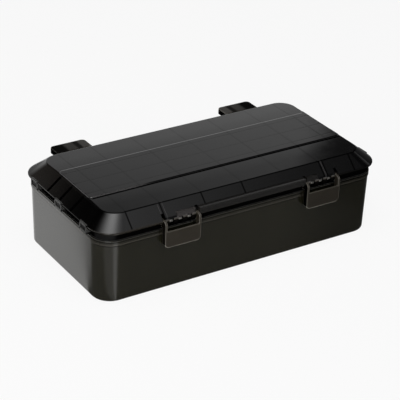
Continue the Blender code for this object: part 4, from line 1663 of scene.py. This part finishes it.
@dataclass
class Latch:
    """A snap latch: plate, two ears with round eyes, window and hook."""

    site: Site
    width: float = 0.0422
    proud: float = 0.0095
    drop: float = 0.0250
    plate: float = 0.0020
    corner: float = 0.0046
    ear: float = 0.0026
    ear_radius: float = 0.0043
    ear_reach: float = 0.0030
    eye_radius: float = 0.0018
    window: float = 0.0065
    edge: float = 0.0006
    overrun: float = 0.0100
    face_depth: float = 0.0400
    side_margin: float = 0.0002
    # Strength of the painted highlight on rounded edges facing down, forward and aside, and the mark for
    # painted shade on the outer sides.
    bottom_glow: float = 1.0
    front_glow: float = 0.36
    side_glow: float = 0.10
    side_shade_mark: float = -1.0
    hook_width: float = 0.0320
    hook_outline: tuple[Corner, ...] = corners(
        (-0.0036, -0.0166, 0.0004), (-0.0079, -0.0150), (-0.0079, -0.0177), (-0.0036, -0.0190, 0.0006)
    )

    def body(self) -> bpy.types.Object:
        """Make the latch as a plate with ears that stand over its full width.

        Returns:
            The solid.
        """
        radius, front, foot, back = self.ear_radius, -self.proud, -self.drop, -self.ear_reach
        heel = -radius * 0.96
        outline = corners(
            (front, foot),
            (front, radius, radius),
            (radius, radius, radius * 0.999),
            (radius, heel, radius * 0.92),
            (back, heel),
            (back, foot),
        )
        return Blank(f"{self.site.name}_latch_body").bar(outline, self.width, side_plane(), 8).finish()

    def tools(self) -> list[tuple[Blank, Cut]]:
        """Make the solids for the pocket and window, the hook, the face's round corners and the eyes.

        Returns:
            Each solid and how it works on the body, in order.
        """
        half, out, foot, front = self.width / 2, self.overrun, -self.drop, -self.proud
        inner = front + self.plate
        below = ((inner, foot - out), (out, foot - out), (out, out))
        pocket = corners(*below, (front - out, out), (front - out, -self.window), (inner, -self.window))
        face = corners((half, out), (-half, out), (-half, foot, self.corner), (half, foot, self.corner))
        return [
            (Blank("pocket").bar(pocket, self.width - 2 * self.ear, side_plane(), 1), Cut.TAKE),
            (Blank("hook").bar(self.hook_outline, self.hook_width, side_plane(), 3), Cut.ADD),
            (Blank("face").bar(face, self.face_depth, front_plane(), 10), Cut.KEEP),
            (Blank("eye").rod(self.eye_radius, self.width + 2 * out), Cut.TAKE),
        ]

    def build(self, material: bpy.types.Material) -> bpy.types.Object:
        """Build and dress the latch.

        Args:
            material: its finish.

        Returns:
            The latch.
        """
        latch = self.body()
        for tool, cut in self.tools():
            carve(latch, tool.finish(), cut)
        self.round_and_mark(latch)
        latch.data.transform(self.site.latch())
        node = f"{self.site.name}_latch"
        show(smooth(latch), node, node, material)
        return latch

    def glow(self, face: bmesh.types.BMFace) -> float:
        """Return how strong a painted highlight a rounded edge's face gets, by the way it faces.

        Args:
            face: the face, in the latch's own frame.

        Returns:
            Its edge mark.
        """
        face.normal_update()
        middle, away = face.calc_center_median(), face.normal
        if abs(middle.z + self.window) < 1.0 * MM and away.z > 0.2:
            return self.side_glow
        if away.z < -0.2:
            return self.bottom_glow
        return self.side_glow if abs(away.x) > 0.4 else self.front_glow

    def round_and_mark(self, latch: bpy.types.Object) -> None:
        """Round the latch's edges and mark them for a painted highlight, and mark the outer sides for painted
        shade.

        Args:
            latch: the worked latch, still in its own frame.
        """
        shape = bmesh.new()
        shape.from_mesh(latch.data)
        mark = shape.faces.layers.float.new(EDGE_MARK)
        bmesh.ops.remove_doubles(shape, verts=shape.verts, dist=MERGE_DISTANCE)
        bmesh.ops.dissolve_limit(shape, angle_limit=FLAT_ANGLE, verts=shape.verts, edges=shape.edges)
        sharp = [edge for edge in shape.edges if edge.calc_face_angle(0.0) > SMOOTH_ANGLE]
        rounded = dict.fromkeys(bevel(shape, sharp, self.edge, 3, Round.EDGES)["faces"])
        side = self.width / 2 - self.side_margin
        for face in shape.faces:
            if face in rounded:
                face[mark] = self.glow(face)
            elif abs(face.normal.x) > 0.9 and abs(face.calc_center_median().x) > side:
                face[mark] = self.side_shade_mark
        settle(shape)
        shape.to_mesh(latch.data)
        shape.free()


@dataclass
class Fittings:
    """The CAD pieces whose shape is right: pins, seal and dividers."""

    def dress(self, wire: bpy.types.Material, rubber: bpy.types.Material, sheet: bpy.types.Material) -> None:
        """Give each CAD node its finish.

        Args:
            wire: for the hinge pins.
            rubber: for the seal.
            sheet: for the dividers.
        """
        for name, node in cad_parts.items():
            if node.hide_render:
                continue
            finish = sheet
            if name.endswith("_pin"):
                finish = wire
            elif name == "lid_seal":
                finish = rubber
            node.data.materials.clear()
            node.data.materials.append(finish)
            LOG.info("%s keeps its CAD shape", name)


# Studio


@dataclass(frozen=True)
class Softbox:
    """A soft rectangular lamp aimed at the box, brightest in its middle."""

    name: str
    place: Triple
    wide: float
    high: float
    brightness: float
    spread: float = 0.3
    target: Triple = (0.0, 0.0, 0.05)

    def light(self) -> None:
        """Put the lamp in the scene."""
        lamp = bpy.data.lights.new(self.name, "AREA")
        lamp.shape = "RECTANGLE"
        lamp.size = self.wide
        lamp.size_y = self.high
        lamp.energy = self.brightness * math.pi * self.wide * self.high
        lamp.use_nodes = True
        recipe = Recipe(self.name, lamp.node_tree)
        point = recipe.term("ShaderNodeNewGeometry", output="Parametric")
        inputs = {0: point, 1: (0.5, 0.5, 0.0)}
        gap = recipe.term("ShaderNodeVectorMath", {"operation": "DISTANCE"}, inputs, output="Value")
        off = gap / self.spread
        glow = recipe.term("ShaderNodeEmission", None, {1: (off * off * -1.0).maths("EXPONENT")})
        recipe.node("ShaderNodeOutputLight", None, {0: glow})
        item = bpy.data.objects.new(self.name, lamp)
        item.location = self.place
        aim = Vector(self.target) - Vector(self.place)
        item.rotation_euler = aim.to_track_quat("-Z", "Y").to_euler()
        bpy.context.scene.collection.objects.link(item)


@dataclass
class Studio:
    """Pale floor, horizon, lamps and camera."""

    azimuth: float = -33.19
    elevation: float = 27.92
    roll: float = 2.22
    distance: float = 1.64851
    target: Triple = (-0.01275, -0.01652, 0.050)
    focal: float = 139.42
    sensor: float = 36.0
    floor_size: float = 12.0
    floor_drop: float = 0.0002
    floor_colour: Colour = (0.80, 0.80, 0.80)
    floor_share: float = 0.90
    # Painted shadow and light on the floor as glossy rays see it.
    floor_shade_corner: Span = (-0.1697, -0.0512)
    floor_shade_heading: Span = (0.468, 0.884)
    floor_shade_near: float = 0.012
    floor_shade_fade: Span = (-0.02, 0.02)
    floor_shade_front: Span = (-0.0550, -0.0700)
    floor_shade_left: Span = (-0.5200, -0.3000)
    floor_shade_right: Span = (0.1450, 0.2150)
    turn_corner: Span = (-0.1516, -0.0836)
    shelf_start: Span = (-3.5, -1.3)
    shelf_end: Span = (0.35, 0.05)
    streak_turn: float = 0.02
    streak_width: Span = (0.34, 0.06)
    pale_run: Span = (-0.0400, 0.1200)
    horizon: float = 1.04
    ceiling: float = 0.02
    tilt: float = 0.06
    fall_start: float = 0.53
    fall_length: float = 0.27
    wing_slopes: Span = (0.788, 9.0)
    wing_fade: Span = (-0.012, 0.012)
    wing_end: Span = (0.1, -0.1)
    wing_start: Span = (0.0, 0.1)
    lamps: tuple[Softbox, ...] = (
        Softbox("overhead_lamp", (-0.226, -0.194, 1.34), 2.1, 2.1, 4.2, 0.215),
        Softbox("front_lamp", (0.99, -1.28, 2.65), 3.2, 3.2, 0.62, 0.20),
        Softbox("left_lamp", (-0.95, 0.75, 0.42), 0.7, 0.35, 3.5),
        Softbox("fill_lamp", (-0.75, -0.80, 0.55), 0.7, 0.7, 8.0),
    )

    def floor(self) -> None:
        """Lay the floor, which keeps the object's shadow."""
        blank = Blank("floor")
        bmesh.ops.create_grid(blank.mesh, x_segments=1, y_segments=1, size=self.floor_size / 2)
        item = blank.move(Matrix.Translation((0.0, 0.0, -self.floor_drop))).finish()
        recipe = Recipe("pale_floor")
        camera, mirror, glass = recipe.rays("Camera", "Glossy", "Transmission")
        share = (camera + mirror + glass).least(1.0) * self.floor_share
        # Glossy rays see the floor's painted shadow and light.
        floor_gloss_shade = 1.0 - mirror * (1.0 - self.floor_gloss_shade(recipe))
        paint = recipe.term("ShaderNodeBsdfDiffuse", None, {0: self.floor_colour})
        white = recipe.term("ShaderNodeEmission", None, {0: (1.0, 1.0, 1.0), 1: floor_gloss_shade})
        mixed = recipe.term("ShaderNodeMixShader", None, {0: share, 1: paint, 2: white})
        recipe.node("ShaderNodeOutputMaterial", None, {0: mixed})
        item.data.materials.append(recipe.material)

    def floor_gloss_shade(self, recipe: Recipe) -> Term:
        """Return how pale the floor looks in a gloss, with painted shadow and painted light on it.

        It has a painted shadow in front of the box, with a painted pool of light as a paler streak off its
        left front corner; it is also paler towards the rear and darker to the right.

        Args:
            recipe: the floor's nodes.

        Returns:
            The brightness.
        """
        at = recipe.place()
        x, y = at.x, at.y
        west, north = x - self.floor_shade_corner[0], y - self.floor_shade_corner[1]
        aside, ahead = self.floor_shade_heading
        over, along = north * -aside - west * ahead, west * -aside + north * ahead
        edge = (over / along.most(self.floor_shade_near)).ramp(*self.floor_shade_fade)
        front = edge.most(y.ramp(*self.floor_shade_front)) * x.ramp(*self.floor_shade_left)
        turn = (x - self.turn_corner[0]) / (y - self.turn_corner[1]).least(-1.0 * MM) * -1.0
        shelf = turn.ramp(*self.shelf_start) * turn.ramp(*self.shelf_end)
        streak = (turn + self.streak_turn).size().ramp(*self.streak_width)
        # The painted shadow's level, lifted by a painted band and a painted streak of light.
        dim = 0.06 + shelf * 0.22 + streak * 0.58
        pale = 0.90 + y.ramp(*self.pale_run) * 0.10
        level = pale + front * (dim - pale)
        return level * (1.0 - x.ramp(*self.floor_shade_right) * 0.9)

    def sky(self) -> None:
        """Set the pale horizon, the darker ceiling above it and a dark wing to the right."""
        world = bpy.data.worlds.new("studio")
        bpy.context.scene.world = world
        world.use_nodes = True
        recipe = Recipe("studio", world.node_tree)
        east, north, height = recipe.split(recipe.term("ShaderNodeTexCoord", output="Generated"))
        (camera,) = recipe.rays("Camera")
        slope = height - east * self.tilt
        fall = ((self.fall_start - slope) / self.fall_length).most(0.0).least(1.0)
        level = self.ceiling + fall * (self.horizon - self.ceiling)
        near, far = self.wing_slopes
        wing = (east - north * near).ramp(*self.wing_fade) * (east - north * far).ramp(*self.wing_end)
        level = level * (1.0 - wing * north.ramp(*self.wing_start) * 0.92)
        strength = level + camera * (1.0 - level)
        back = recipe.term("ShaderNodeBackground", None, {0: (1.0, 1.0, 1.0), 1: strength})
        recipe.node("ShaderNodeOutputWorld", None, {0: back})

    def camera(self) -> None:
        """Place the camera as the photograph was taken."""
        turn, tilt, roll = (math.radians(value) for value in (self.azimuth, self.elevation, self.roll))
        back = Vector((math.sin(turn) * math.cos(tilt), -math.cos(turn) * math.cos(tilt), math.sin(tilt)))
        right = Vector((math.cos(turn), math.sin(turn), 0.0))
        up = back.cross(right)
        level_right = right * math.cos(roll) + up * math.sin(roll)
        level_up = up * math.cos(roll) - right * math.sin(roll)
        lens = bpy.data.cameras.new("camera")
        lens.lens = self.focal
        lens.sensor_width = self.sensor
        item = bpy.data.objects.new("camera", lens)
        axes = Matrix((level_right, level_up, back)).transposed().to_4x4()
        item.matrix_world = Matrix.Translation(Vector(self.target) + back * self.distance) @ axes
        bpy.context.scene.collection.objects.link(item)
        bpy.context.scene.camera = item

    def build(self) -> None:
        """Set up the whole studio."""
        self.floor()
        self.sky()
        for lamp in self.lamps:
            lamp.light()
        self.camera()
        bpy.context.scene.view_settings.view_transform = "Standard"
        LOG.info("studio ready with %d lamps", len(self.lamps))


def main() -> None:
    """Build the box's pieces in order, then the studio."""
    logging.basicConfig(level=logging.INFO, format="%(message)s")
    rim = Rim()
    charcoal = MouldedPlastic(
        name="charcoal_tub",
        body=(0.0120, 0.0111, 0.0050),
        worn=(0.0160, 0.0148, 0.0076),
        roughness=0.23,
        shine=1.0,
        # Paler colour of the bead's painted highlight.
        rim=(0.038, 0.034, 0.026),
    )
    rubber = MouldedPlastic(
        name="seal_rubber", body=(0.030, 0.030, 0.030), worn=(0.045, 0.045, 0.045), roughness=0.75
    )
    sheet = MouldedPlastic(
        name="divider_sheet", body=(0.30, 0.30, 0.29), worn=(0.36, 0.36, 0.35), roughness=0.45
    )
    latch = ClearEdgedPlastic(
        name="latch_plastic",
        body=(0.0270, 0.0222, 0.0155),
        # Pale colour of the painted highlight on the latches' rounded edges.
        edge=(0.450, 0.420, 0.365),
        roughness=0.36,
        shine=0.5,
    )
    tab = ClearEdgedPlastic(
        name="tab_plastic",
        body=(0.012, 0.012, 0.0115),
        edge=(0.055, 0.055, 0.053),
        roughness=0.3,
        shine=0.15,
        hush=0.5,
    )
    Tub(rim).build(charcoal.make())
    Lid(rim).build(SmokedPlastic().make(), tab.make())
    latch_material = latch.make()
    for site in SITES:
        Latch(site).build(latch_material)
    Fittings().dress(DrawnWire().make(), rubber.make(), sheet.make())
    Studio().build()


if __name__ == "__main__":
    main()
